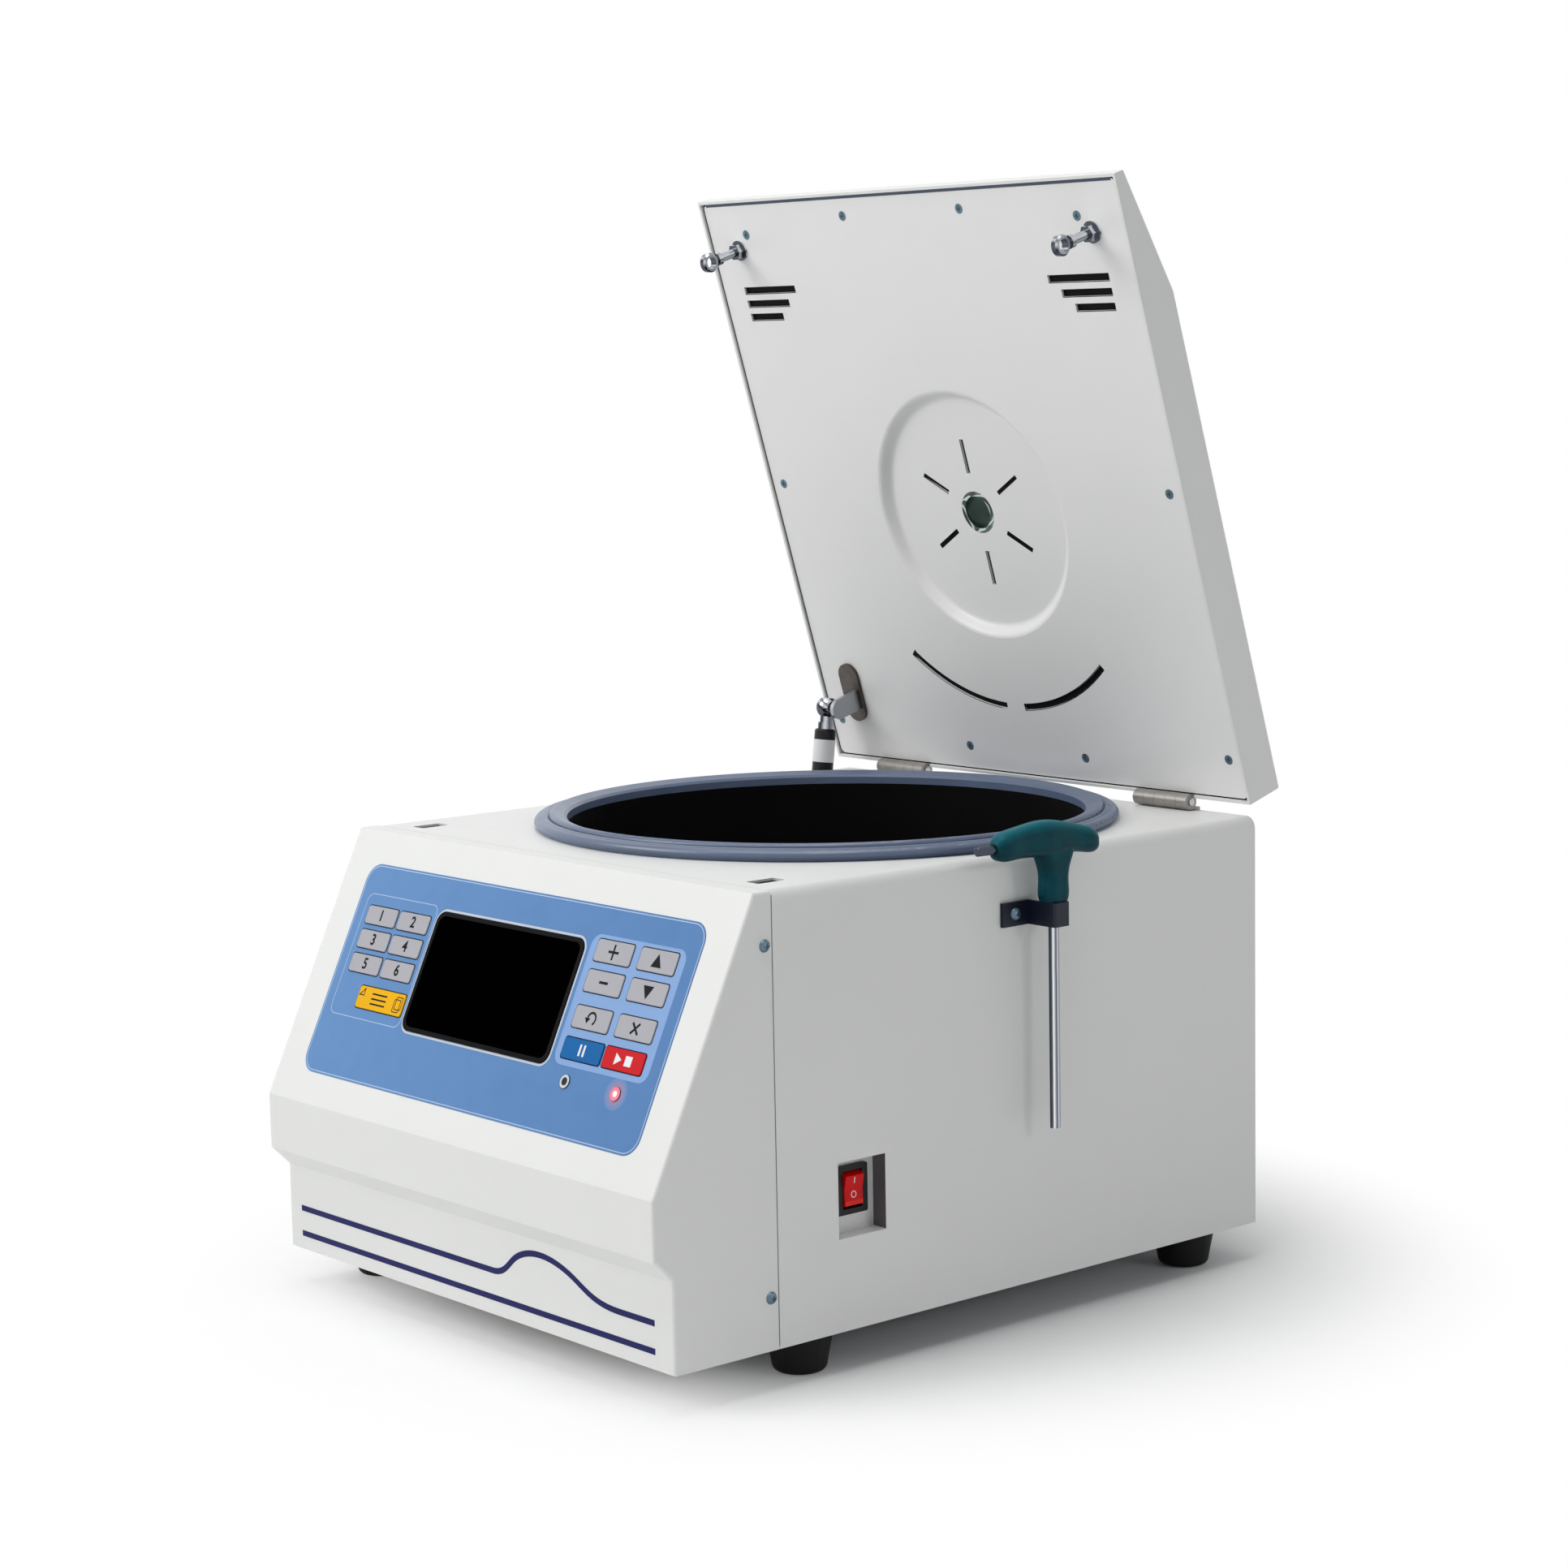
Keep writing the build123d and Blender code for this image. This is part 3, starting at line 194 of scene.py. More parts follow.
def finish(name, colour, spread=0.03, rough=(0.4, 0.5), grain=900.0, depth=0.02, strength=0.25,
           patch=14.0, stretch=(1, 1, 1), **values):
    """A finish with broad patches of colour and a fine grain, whose depth is in mm."""
    f = Finish(name)
    broad = f.noise(patch, 4.0)
    fine = f.noise(grain, 2.0, stretch=stretch)
    f.colour(shade(colour, 1 - spread), shade(colour, 1 + spread), broad)
    f.roughness(rough[0], rough[1], f.noise(patch * 4, 3.0, stretch=stretch))
    f.bump(fine, strength, depth * MM)
    f.set(**values)
    return f


white_paint = finish("white_powder_coat", srgb(232, 233, 231), 0.008, (0.42, 0.5), 1100, 0.03, 0.3)
white_paint.set(Coat_Weight=0.12, Coat_Roughness=0.3)
liner_paint = finish("lid_lining_paint", srgb(238, 238, 237), 0.01, (0.36, 0.46), 1000, 0.03, 0.3)
liner_paint.set(Coat_Weight=0.15, Coat_Roughness=0.28)
rear_paint = finish("rear_panel_paint", srgb(228, 229, 227), 0.01, (0.44, 0.52), 1000, 0.03, 0.3)
rubber = finish("black_rubber", srgb(14, 14, 15), 0.2, (0.55, 0.7), 700, 0.06, 0.5, Specular_IOR_Level=0.2)
damper = finish("damper_rubber", srgb(26, 26, 28), 0.2, (0.55, 0.7), 600, 0.06, 0.5, Specular_IOR_Level=0.25)
gasket = finish("gasket_rubber", srgb(86, 101, 128), 0.07, (0.3, 0.4), 700, 0.03, 0.25, patch=9)
gasket.set(Sheen_Weight=0.25, Sheen_Roughness=0.35, Sheen_Tint=srgb(150, 165, 195))
gasket.set(Coat_Weight=0.25, Coat_Roughness=0.28)
steel = finish("drawn_steel", srgb(176, 178, 182), 0.05, (0.28, 0.42), 600, 0.02, 0.3,
               stretch=(1, 1, 12), Metallic=1.0)
# Painted shade: the chamber's steel bowl is coloured near black for the shade inside it
bowl_painted_shade = finish("chamber_painted_shade", srgb(8, 8, 9), 0.2, (0.6, 0.75), 500, 0.03, 0.3,
                    Specular_IOR_Level=0.05)
screw_steel = finish("blued_screws", srgb(98, 122, 134), 0.12, (0.3, 0.42), 900, 0.02, 0.3, patch=300,
                     Metallic=0.75)
navy = finish("navy_inlay", srgb(26, 30, 92), 0.06, (0.4, 0.5), 900, 0.01, 0.2, Specular_IOR_Level=0.15)
black_gloss = finish("black_bezel", srgb(6, 6, 8), 0.15, (0.25, 0.32), 900, 0.01, 0.15,
                     Specular_IOR_Level=0.05)
screen = finish("screen_glass", srgb(1, 1, 2), 0.2, (0.18, 0.24), 500, 0.003, 0.1, Specular_IOR_Level=0.0)
board = finish("circuit_board", srgb(30, 90, 55), 0.25, (0.4, 0.55), 500, 0.04, 0.4, patch=120)
motor_paint = finish("motor_casting", srgb(52, 53, 56), 0.12, (0.5, 0.65), 350, 0.15, 0.6)
alloy = finish("turned_alloy", srgb(188, 190, 195), 0.02, (0.26, 0.32), 260, 0.01, 0.12,
               stretch=(1, 1, 4), Metallic=1.0)
hinge_metal = finish("hinge_steel", srgb(150, 146, 142), 0.08, (0.34, 0.46), 700, 0.04, 0.4, patch=60,
                     Metallic=0.55)
strut_paint = finish("strut_enamel", srgb(10, 10, 12), 0.15, (0.25, 0.35), 800, 0.02, 0.2,
                     Specular_IOR_Level=0.3)
black_plastic = finish("black_plastic", srgb(14, 15, 18), 0.15, (0.38, 0.5), 800, 0.04, 0.4,
                       Specular_IOR_Level=0.25)
bracket_paint = finish("bracket_enamel", srgb(18, 24, 42), 0.12, (0.3, 0.42), 900, 0.03, 0.35,
                       Specular_IOR_Level=0.3)
bolt_steel = finish("bolt_steel", srgb(150, 152, 156), 0.08, (0.25, 0.35), 700, 0.02, 0.3, Metallic=1.0)
key_grey = finish("grey_key", srgb(173, 173, 179), 0.02, (0.38, 0.46), 1200, 0.015, 0.2,
                  Specular_IOR_Level=0.25)
key_yellow = finish("yellow_key", srgb(240, 180, 8), 0.03, (0.38, 0.46), 1200, 0.015, 0.2,
                    Specular_IOR_Level=0.12)
key_blue = finish("blue_key", srgb(6, 100, 168), 0.04, (0.38, 0.46), 1200, 0.015, 0.2,
                  Specular_IOR_Level=0.12)
key_red = finish("red_key", srgb(208, 22, 32), 0.04, (0.38, 0.46), 1200, 0.015, 0.2, Specular_IOR_Level=0.12)
ink_dark = finish("dark_print", srgb(14, 14, 20), 0.1, (0.5, 0.6), 1200, 0.005, 0.1, Specular_IOR_Level=0.1)
ink_pale = finish("pale_print", srgb(236, 238, 242), 0.02, (0.4, 0.5), 1200, 0.005, 0.1)
ring_print = finish("pale_ring", srgb(200, 207, 216), 0.03, (0.4, 0.5), 1200, 0.005, 0.1)
line_print = finish("panel_line_print", srgb(176, 198, 226), 0.03, (0.4, 0.5), 1200, 0.005, 0.1)
field_print = finish("panel_field_print", srgb(124, 162, 214), 0.03, (0.4, 0.5), 1200, 0.01, 0.2, patch=20)
vent_shadow = finish("vent_shadow", srgb(8, 9, 13), 0.2, (0.6, 0.7), 600, 0.01, 0.2, Specular_IOR_Level=0.1)
seam_shade = finish("lid_seam_shade", srgb(62, 74, 96), 0.15, (0.35, 0.5), 600, 0.01, 0.2, patch=40)
seam_grey = finish("casing_seam_shade", srgb(96, 98, 100), 0.08, (0.5, 0.6), 600, 0.01, 0.2)
# Painted shade for the switch pocket's rear wall
pocket_painted_shade = finish("pocket_shade", srgb(88, 82, 88), 0.06, (0.5, 0.6), 900, 0.02, 0.3)
lit_red = finish("rocker_band", srgb(240, 40, 32), 0.05, (0.3, 0.4), 700, 0.01, 0.1, Specular_IOR_Level=0.2)
label_print = finish("blank_label", srgb(236, 236, 236), 0.02, (0.3, 0.4), 900, 0.005, 0.1)


def panel_finish():
    """Blue keypad film: paler to the left, with a soft mottle."""
    f = Finish("panel_film")
    split = f.node("ShaderNodeSeparateXYZ")
    f.link(f.coords.outputs["Object"], split.inputs["Vector"])
    across = f.mapped(split.outputs["X"], -0.18, 0.18)
    mottle = f.scaled(f.noise(60.0, 3.0), 0.4)
    f.colour(srgb(99, 142, 194), srgb(85, 129, 183), f.scaled_sum(across, 0.8, mottle), 0.2, 1.0)
    f.roughness(0.42, 0.52, f.noise(60.0))
    f.bump(f.noise(1300.0, 2.0), 0.25, 0.02 * MM)
    f.set(Specular_IOR_Level=0.2)
    return f


def red_plastic():
    """Clear red rocker with a faint glow."""
    f = finish("rocker_red", srgb(206, 4, 8), 0.1, (0.2, 0.28), 700, 0.01, 0.15, patch=90)
    f.set(Specular_IOR_Level=0.15, Emission_Color=srgb(180, 0, 0), Emission_Strength=0.1)
    return f


def teal_with_painted_top_light():
    """Moulded teal grip, with painted light: paler where it faces up."""
    f = Finish("teal_grip_painted_top_light")
    geometry = f.node("ShaderNodeNewGeometry")
    split = f.node("ShaderNodeSeparateXYZ")
    f.link(geometry.outputs["Normal"], split.inputs["Vector"])
    mottle = f.scaled(f.noise(60.0, 3.0), 0.25)
    # Painted light: paler teal where the surface faces up, darker where it faces down
    f.colour(srgb(0, 54, 64), srgb(4, 104, 116), f.scaled_sum(split.outputs["Z"], 0.35, mottle), 0.05, 0.48)
    f.roughness(0.3, 0.42, f.noise(120.0))
    f.bump(f.noise(900.0, 2.0), 0.35, 0.03 * MM)
    f.set(Specular_IOR_Level=0.1)
    return f


def led(name, stops, centre, reach, strength):
    """A flat disc coloured by its distance from a centre, in metres."""
    f = Finish(name)
    away = f.node("ShaderNodeVectorMath", operation="DISTANCE")
    f.link(f.coords.outputs["Object"], away.inputs[0])
    away.inputs[1].default_value = centre
    share = f.node("ShaderNodeMath", operation="DIVIDE")
    f.link(away.outputs["Value"], share.inputs[0])
    share.inputs[1].default_value = reach
    ramp = f.bands(stops, share.outputs["Value"])
    f.link(ramp.outputs["Color"], f.shader.inputs["Emission Color"])
    f.set(Emission_Strength=strength, Specular_IOR_Level=0.2)
    f.roughness(0.35, 0.45, f.noise(400.0))
    f.bump(f.noise(700.0, 2.0), 0.1, 0.01 * MM)
    return f


def with_painted_reflections(name, way, stops, rough, axis=None, radius=1.0):
    """Bright metal with painted reflections, a studio's light and dark bands: by the way it faces, or across
    a rod on an axis.
    """
    f = Finish(name)
    dot = f.node("ShaderNodeVectorMath", operation="DOT_PRODUCT")
    if axis:
        place = f.node("ShaderNodeVectorMath", operation="SUBTRACT")
        f.link(f.coords.outputs["Object"], place.inputs[0])
        place.inputs[1].default_value = axis
        f.link(place.outputs["Vector"], dot.inputs[0])
    else:
        f.link(f.node("ShaderNodeNewGeometry").outputs["Normal"], dot.inputs[0])
    dot.inputs[1].default_value = way
    middle = f.mapped(f.noise(80.0, 2.0), to_low=0.48, to_high=0.52)
    # Painted reflections: the colour runs through light and dark bands by the way the surface faces, or
    # across the rod
    f.bands(stops, f.scaled_sum(dot.outputs["Value"], 0.48 / radius, middle))
    f.roughness(rough, rough + 0.06, f.noise(200.0, 2.0))
    f.bump(f.noise(700.0, 2.0), 0.1, 0.005 * MM)
    f.set(Metallic=1.0)
    return f


def bracket_finish():
    """Bronzed foot plate on the lid's lining, and a bright ear standing on it."""
    plate_top, ear_start = -0.2798, -0.2790
    f = Finish("bracket_bronze")
    height = f.node("ShaderNodeVectorMath", operation="DOT_PRODUCT")
    f.link(f.coords.outputs["Object"], height.inputs[0])
    height.inputs[1].default_value = (0, -math.sin(LEAN), -math.cos(LEAN))
    level = f.mapped(height.outputs["Value"], plate_top, ear_start)
    mottled = f.scaled_sum(f.noise(120.0, 3.0), 0.15, level)
    f.colour(srgb(78, 71, 65), srgb(172, 174, 180), mottled, 0.05, 0.6)
    f.roughness(0.3, 0.4, f.noise(90.0))
    f.bump(f.noise(700.0, 2.0), 0.2, 0.02 * MM)
    f.set(Metallic=0.75)
    return f


# Painted reflections: light and dark bands across polished metal, and the hex key's shaft, in metres

CHROME_PAINTED_REFLECTIONS = ((0.05, srgb(46, 48, 56)), (0.3, srgb(96, 99, 108)), (0.42, srgb(38, 40, 48)),
                (0.55, srgb(205, 208, 214)), (0.68, srgb(104, 108, 118)), (0.8, srgb(236, 239, 243)),
                (0.95, srgb(170, 174, 182)))
TOOL_PAINTED_REFLECTIONS = ((0.04, srgb(70, 74, 86)), (0.2, srgb(112, 118, 130)), (0.34, srgb(250, 251, 253)),
              (0.5, srgb(176, 181, 190)), (0.68, srgb(62, 66, 78)), (0.84, srgb(206, 210, 217)),
              (0.97, srgb(150, 154, 162)))
HEX_SHAFT_AXIS = (0.228, -0.009, 0.0)
HEX_SHAFT_RADIUS = 0.003

panel_film = panel_finish()
bronze = bracket_finish()
chrome = with_painted_reflections("chrome_painted_reflections", (0.45, 0.35, 0.82), CHROME_PAINTED_REFLECTIONS, 0.1)
tool_steel = with_painted_reflections("hex_steel_painted_reflections", (0.648, 0.762, 0.0), TOOL_PAINTED_REFLECTIONS, 0.2, HEX_SHAFT_AXIS, HEX_SHAFT_RADIUS)
rocker_red = red_plastic()
teal = teal_with_painted_top_light()
pane = finish("sight_pane", srgb(176, 198, 192), 0.02, (0.02, 0.06), 300, 0.003, 0.1,
              Transmission_Weight=1.0, IOR=1.46)
lens_dark = finish("sensor_lens", srgb(34, 38, 46), 0.2, (0.1, 0.18), 600, 0.01, 0.15, Coat_Weight=0.4)

# What each piece of the CAD is made of

plan = {
    white_paint: ("outer_housing", "front_fascia", "lid_shell"),
    liner_paint: ("lid_inner_plate",),
    rear_paint: ("rear_panel",),
    rubber: ("rubber_feet",),
    damper: ("vibration_mounts",),
    gasket: ("chamber_gasket",),
    steel: ("base_plate", "guard_ring", "motor_plate", "drive_spindle", "hinge_pins", "latch_units",
            "strut_base_bracket"),
    bowl_painted_shade: ("chamber_bowl",),
    screw_steel: ("body_screws", "lid_screws"),
    navy: ("groove_trims",),
    panel_film: ("membrane_panel",),
    black_gloss: ("display_bezel",),
    screen: ("display_window",),
    board: ("control_board",),
    lens_dark: ("indicator_lenses",),
    motor_paint: ("drive_motor",),
    alloy: ("rotor",),
    chrome: ("strikers", "strut_socket", "strut_rod", "rotor_screw"),
    bronze: ("strut_lid_bracket",),
    pane: ("viewport_window",),
    hinge_metal: ("hinge_body_leaves", "hinge_lid_leaves"),
    strut_paint: ("strut_cylinder",),
    black_plastic: ("mains_inlet", "fan_frame", "fan_impeller", "switch_bezel"),
    rocker_red: ("power_rocker",),
    bracket_paint: ("tool_bracket",),
    teal: ("hex_key_handle",),
    tool_steel: ("hex_key_shaft",),
    bolt_steel: ("latch_bolt_right", "latch_bolt_left"),
    key_yellow: ("key_menu",),
    key_blue: ("key_standby",),
    key_red: ("key_run_stop",),
    key_grey: ("key_preset_1", "key_preset_2", "key_preset_3", "key_preset_4", "key_preset_5", "key_preset_6",
               "key_plus", "key_up", "key_minus", "key_down", "key_recall", "key_clear"),
}
for one, names in plan.items():
    for name in names:
        data = nodes[name].data
        data.materials.clear()
        data.materials.append(one.material)


# Printed pieces, drawn flat on a plane and laid on it as thin inlays

def plane_matrix(origin, x, y):
    """Frame of a plane from a point on it, in metres, and the two ways along it."""
    x = Vector(x).normalized()
    y = Vector(y).normalized()
    m = Matrix((x, y, x.cross(y))).transposed().to_4x4()
    m.translation = Vector(origin)
    return m


SLOPE = plane_matrix((0, -0.3225, 0.134), (1, 0, 0), (0, 81.3, 173.0))
LID = plane_matrix((0, 0.19678, 0.31547), (1, 0, 0), (0, -math.cos(LEAN), math.sin(LEAN)))


def rounded(x, y, w, h, r, steps=8):
    """Outline of a rounded rectangle, counter-clockwise, in mm."""
    points = []
    for cx, cy, start in ((w / 2 - r, h / 2 - r, 0), (r - w / 2, h / 2 - r, 90),
                          (r - w / 2, r - h / 2, 180), (w / 2 - r, r - h / 2, 270)):
        for k in range(steps + 1):
            a = math.radians(start + 90 * k / steps)
            points.append((x + cx + r * math.cos(a), y + cy + r * math.sin(a)))
    return points


def rounded_frame(x, y, w, h, r, line, inner_r):
    """The two outlines of a rounded frame with lines of one width, in mm."""
    return [rounded(x, y, w, h, r), rounded(x, y, w - 2 * line, h - 2 * line, inner_r)]


def bar(x, y, w, h):
    """Outline of an upright rectangle, in mm."""
    return [(x - w / 2, y - h / 2), (x + w / 2, y - h / 2), (x + w / 2, y + h / 2), (x - w / 2, y + h / 2)]


def circle(x, y, r, steps=40):
    """Outline of a circle, in mm."""
    points = []
    for k in range(steps):
        a = 2 * math.pi * k / steps
        points.append((x + r * math.cos(a), y + r * math.sin(a)))
    return points


def straight_band(x0, y0, x1, y1, r):
    """Outline of a straight band with flat ends and half width r, in mm."""
    way = Vector((x1 - x0, y1 - y0)).normalized()
    side = Vector((-way.y, way.x)) * r
    return [(x0 + side.x, y0 + side.y), (x0 - side.x, y0 - side.y),
            (x1 - side.x, y1 - side.y), (x1 + side.x, y1 + side.y)]


def curved_band(x, y, radius, start, end, r, steps=40):
    """Outline of a band along an arc, with flat ends and half width r, in mm."""
    points = []
    for rad, first, last in ((radius + r, start, end), (radius - r, end, start)):
        for k in range(steps + 1):
            a = math.radians(first + (last - first) * k / steps)
            points.append((x + rad * math.cos(a), y + rad * math.sin(a)))
    return points


def settle(name, curve, matrix, height, one, body):
    """Turns a flat curve or text into a mesh on a plane, with its material and its body."""
    holder = bpy.data.objects.new(name + "_curve", curve)
    scene.collection.objects.link(holder)
    bpy.context.view_layer.update()
    mesh = bpy.data.meshes.new_from_object(holder.evaluated_get(bpy.context.evaluated_depsgraph_get()))
    bpy.data.objects.remove(holder)
    mesh.transform(matrix @ Matrix.Translation((0, 0, height * MM)))
    mesh.name = name
    mesh.materials.clear()
    mesh.materials.append(one.material)
    piece = bpy.data.objects.new(name, mesh)
    scene.collection.objects.link(piece)
    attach(piece, body)
    return piece


def inlay(name, loops, matrix, low, high, one, body):
    """A thin flat piece with holes, from closed loops in mm, between two heights above a plane."""
    curve = bpy.data.curves.new(name, "CURVE")
    curve.dimensions = "2D"
    curve.fill_mode = "BOTH"
    curve.extrude = (high - low) / 2 * MM
    for loop in loops:
        spline = curve.splines.new("POLY")
        spline.points.add(len(loop) - 1)
        for point, (x, y) in zip(spline.points, loop):
            point.co = (x * MM, y * MM, 0, 1)
        spline.use_cyclic_u = True
    return settle(name, curve, matrix, (low + high) / 2, one, body)


# The control panel. Heights above its slope and thicknesses of print, in mm

FILM = 0.2
LENS = 0.8
CAP = 0.9
LINE = 0.05
INK = 0.06


def printed(name, loops, level, thick, one, body="housing"):
    """A print on the slope, from closed loops in mm."""
    return inlay(name, loops, SLOPE, level, level + thick, one, body)


# Keys on the slope: centre x, centre y, width and height, in mm

KEYS = {}
for index in range(6):
    KEYS[f"key_preset_{index + 1}"] = (-149.0 + 37.3 * (index % 2), 133.3 - 16.8 * (index // 2), 34.5, 12.5)
KEYS["key_menu"] = (-118.5, 78.0, 53.0, 15.0)
for row, pair in enumerate((("key_plus", "key_up"), ("key_minus", "key_down"))):
    for column, name in enumerate(pair):
        KEYS[name] = (101.7 + 43.3 * column, 140.0 - 19.8 * row, 36.0, 14.2)
for column, name in enumerate(("key_recall", "key_clear")):
    KEYS[name] = (101.7 + 43.3 * column, 97.0, 36.0, 14.2)
for column, name in enumerate(("key_standby", "key_run_stop")):
    KEYS[name] = (102.5 + 41.0 * column, 76.7, 39.0, 13.5)

# Key holes, wider than the caps by the margin, and the place where the right-hand keys start, in mm

HOLE_MARGIN = 1.4
HOLE_CORNER = 2.4
RIGHT_KEYS = 70


def group_outline():
    """Pale rounded line round the preset and menu keys."""
    printed("preset_outline", rounded_frame(-131, 105.5, 82, 85, 6, 0.5, 5.5), FILM, LINE, line_print)


def right_field():
    """Paler field round the right-hand keys, with a hole for each."""
    loops = [rounded(123.5, 107.8, 93, 84.5, 8)]
    for x, y, w, h in KEYS.values():
        if x > RIGHT_KEYS:
            loops.append(rounded(x, y, w + HOLE_MARGIN, h + HOLE_MARGIN, HOLE_CORNER))
    printed("right_field", loops, FILM, LINE, field_print)


def key_rims():
    """Dark hairline round each key cap."""
    for name, (x, y, w, h) in KEYS.items():
        loops = rounded_frame(x, y, w + HOLE_MARGIN, h + HOLE_MARGIN, HOLE_CORNER, 0.45, 2.1)
        printed(name + "_rim", loops, FILM, 0.08, ink_dark)


def edge_lines():
    """Thin pale lines inside the film's edge and round the screen's frame."""
    printed("film_edge", rounded_frame(0, 95, 360.8, 144.8, 12, 0.6, 11.4), FILM, LINE, line_print)
    printed("screen_edge", rounded_frame(-7.5, 104, 162.6, 85.6, 9.6, 1.5, 8.2), FILM, LINE, ring_print)


def number(key, text, size, bold):
    """A number printed in the middle of a key cap, with its height and added weight in mm."""
    x, y = KEYS[key][:2]
    curve = bpy.data.curves.new(key + "_number", "FONT")
    curve.body = text
    curve.size = size * MM
    curve.align_x = "CENTER"
    curve.align_y = "CENTER"
    curve.extrude = INK / 2 * MM
    curve.offset = bold * MM
    shifted = SLOPE @ Matrix.Translation((x * MM, y * MM, 0))
    settle(key + "_number", curve, shifted, CAP + INK / 2, ink_dark, key)


def symbol(key, loops, one=ink_dark):
    """A sign printed on a key cap."""
    printed(key + "_mark", loops, CAP, INK, one, key)


def key_marks():
    """Numbers and generic signs on the key caps."""
    for index in range(6):
        number(f"key_preset_{index + 1}", str(index + 1), 10.5, 0.26)

    x, y = KEYS["key_plus"][:2]
    arm, half = 5.0, 0.8
    corners = ((arm, half), (half, half), (half, arm), (-half, arm), (-half, half), (-arm, half),
               (-arm, -half), (-half, -half), (-half, -arm), (half, -arm), (half, -half), (arm, -half))
    symbol("key_plus", [[(x + u, y + v) for u, v in corners]])
    x, y = KEYS["key_minus"][:2]
    symbol("key_minus", [bar(x, y, 8.6, 1.7)])
    x, y = KEYS["key_up"][:2]
    symbol("key_up", [[(x - 5.0, y - 4.0), (x + 5.0, y - 4.0), (x, y + 4.6)]])
    x, y = KEYS["key_down"][:2]
    symbol("key_down", [[(x - 5.0, y + 4.0), (x, y - 4.6), (x + 5.0, y + 4.0)]])

    x, y = KEYS["key_recall"][:2]
    arc = curved_band(x, y, 3.9, -60, 180, 0.7, 14)
    head = [(x - 6.6, y + 0.2), (x - 1.2, y + 0.2), (x - 3.9, y - 3.4)]
    symbol("key_recall", [arc, head])
    x, y = KEYS["key_clear"][:2]
    diagonal = 0.7071
    cross = [(x + (u - v) * diagonal, y + (u + v) * diagonal) for u, v in corners]
    symbol("key_clear", [cross])

    x, y = KEYS["key_standby"][:2]
    symbol("key_standby", [bar(x - 2, y, 1.8, 7.4), bar(x + 2, y, 1.8, 7.4)], ink_pale)
    x, y = KEYS["key_run_stop"][:2]
    triangle = [(x - 8, y - 3.8), (x - 1.6, y), (x - 8, y + 3.8)]
    symbol("key_run_stop", [triangle, bar(x + 5, y, 6.4, 6.4)], ink_pale)


def menu_marks():
    """Three lines, a folded corner and two pages, one behind the other, on the menu key."""
    x, y, w, h = KEYS["key_menu"]
    for k in range(3):
        line = bar(x - 2, y + 3.4 - 3.4 * k, 17, 1.1)
        printed(f"menu_line_{k + 1}", [line], CAP, INK, ink_dark, "key_menu")
    left = x - w / 2
    top = y + h / 2
    fold = [[(left + 0.8, top - 6.6), (left + 7.0, top - 6.6), (left + 7.0, top - 0.8)],
            [(left + 2.6, top - 5.9), (left + 6.3, top - 5.9), (left + 6.3, top - 2.5)]]
    printed("menu_fold", fold, CAP, LINE, ink_dark, "key_menu")
    front_page = rounded_frame(x + 19.4, y - 1.0, 7.4, 9.0, 1.0, 0.6, 0.6)
    printed("menu_page", front_page, CAP, INK, ink_dark, "key_menu")
    back_page = rounded_frame(x + 21.2, y + 0.8, 7.4, 9.0, 1.0, 0.6, 0.6)
    printed("menu_page_back", back_page, CAP + 0.001, LINE - 0.001, ink_dark, "key_menu")


# Sensor window and red lamp on the slope, in mm

LAMP_ROW = 56.0
SENSOR_X = 95.5
RED_LAMP_X = 146.0
LIT_RADIUS = 4.4
GLOW_RADIUS = 10.5


def red_lamp_centre(level):
    return SLOPE @ (Vector((RED_LAMP_X, LAMP_ROW, level)) * MM)


def lamps():
    """Sensor window with its pale ring, and the lit red lamp with a painted glow on the film round it."""
    ring = [circle(SENSOR_X, LAMP_ROW, 4.3), circle(SENSOR_X, LAMP_ROW, 2.6)]
    printed("sensor_ring", ring, LENS, INK, ring_print)
    dot = finish("sensor_dot", srgb(14, 16, 20), 0.2, (0.2, 0.3), 600, 0.01, 0.1, Specular_IOR_Level=0.2)
    printed("sensor_core", [circle(SENSOR_X, LAMP_ROW, 2.6)], LENS, INK, dot)
    lit_stops = ((0.0, srgb(255, 252, 248)), (0.36, srgb(255, 232, 226)), (0.52, srgb(240, 70, 76)),
                 (0.66, srgb(238, 140, 150)), (0.74, srgb(214, 92, 110)), (1.0, srgb(186, 128, 158)))
    lit = led("lamp_lit", lit_stops, red_lamp_centre(LENS), LIT_RADIUS * MM, 0.5)
    printed("lamp_core", [circle(RED_LAMP_X, LAMP_ROW, LIT_RADIUS)], LENS, INK, lit)
    # Painted light: the lamp's glow on the film round it is coloured in, with no emission
    painted_glow_stops = ((0.42, srgb(186, 128, 158)), (0.65, srgb(134, 141, 184)), (1.0, srgb(95, 139, 192)))
    glow = led("lamp_painted_glow", painted_glow_stops, red_lamp_centre(FILM), GLOW_RADIUS * MM, 0.0)
    painted_halo = [circle(RED_LAMP_X, LAMP_ROW, 10.4), circle(RED_LAMP_X, LAMP_ROW, 4.7)]
    printed("lamp_painted_halo", painted_halo, FILM, 0.04, glow)


group_outline()
right_field()
key_rims()
edge_lines()
key_marks()
menu_marks()
lamps()


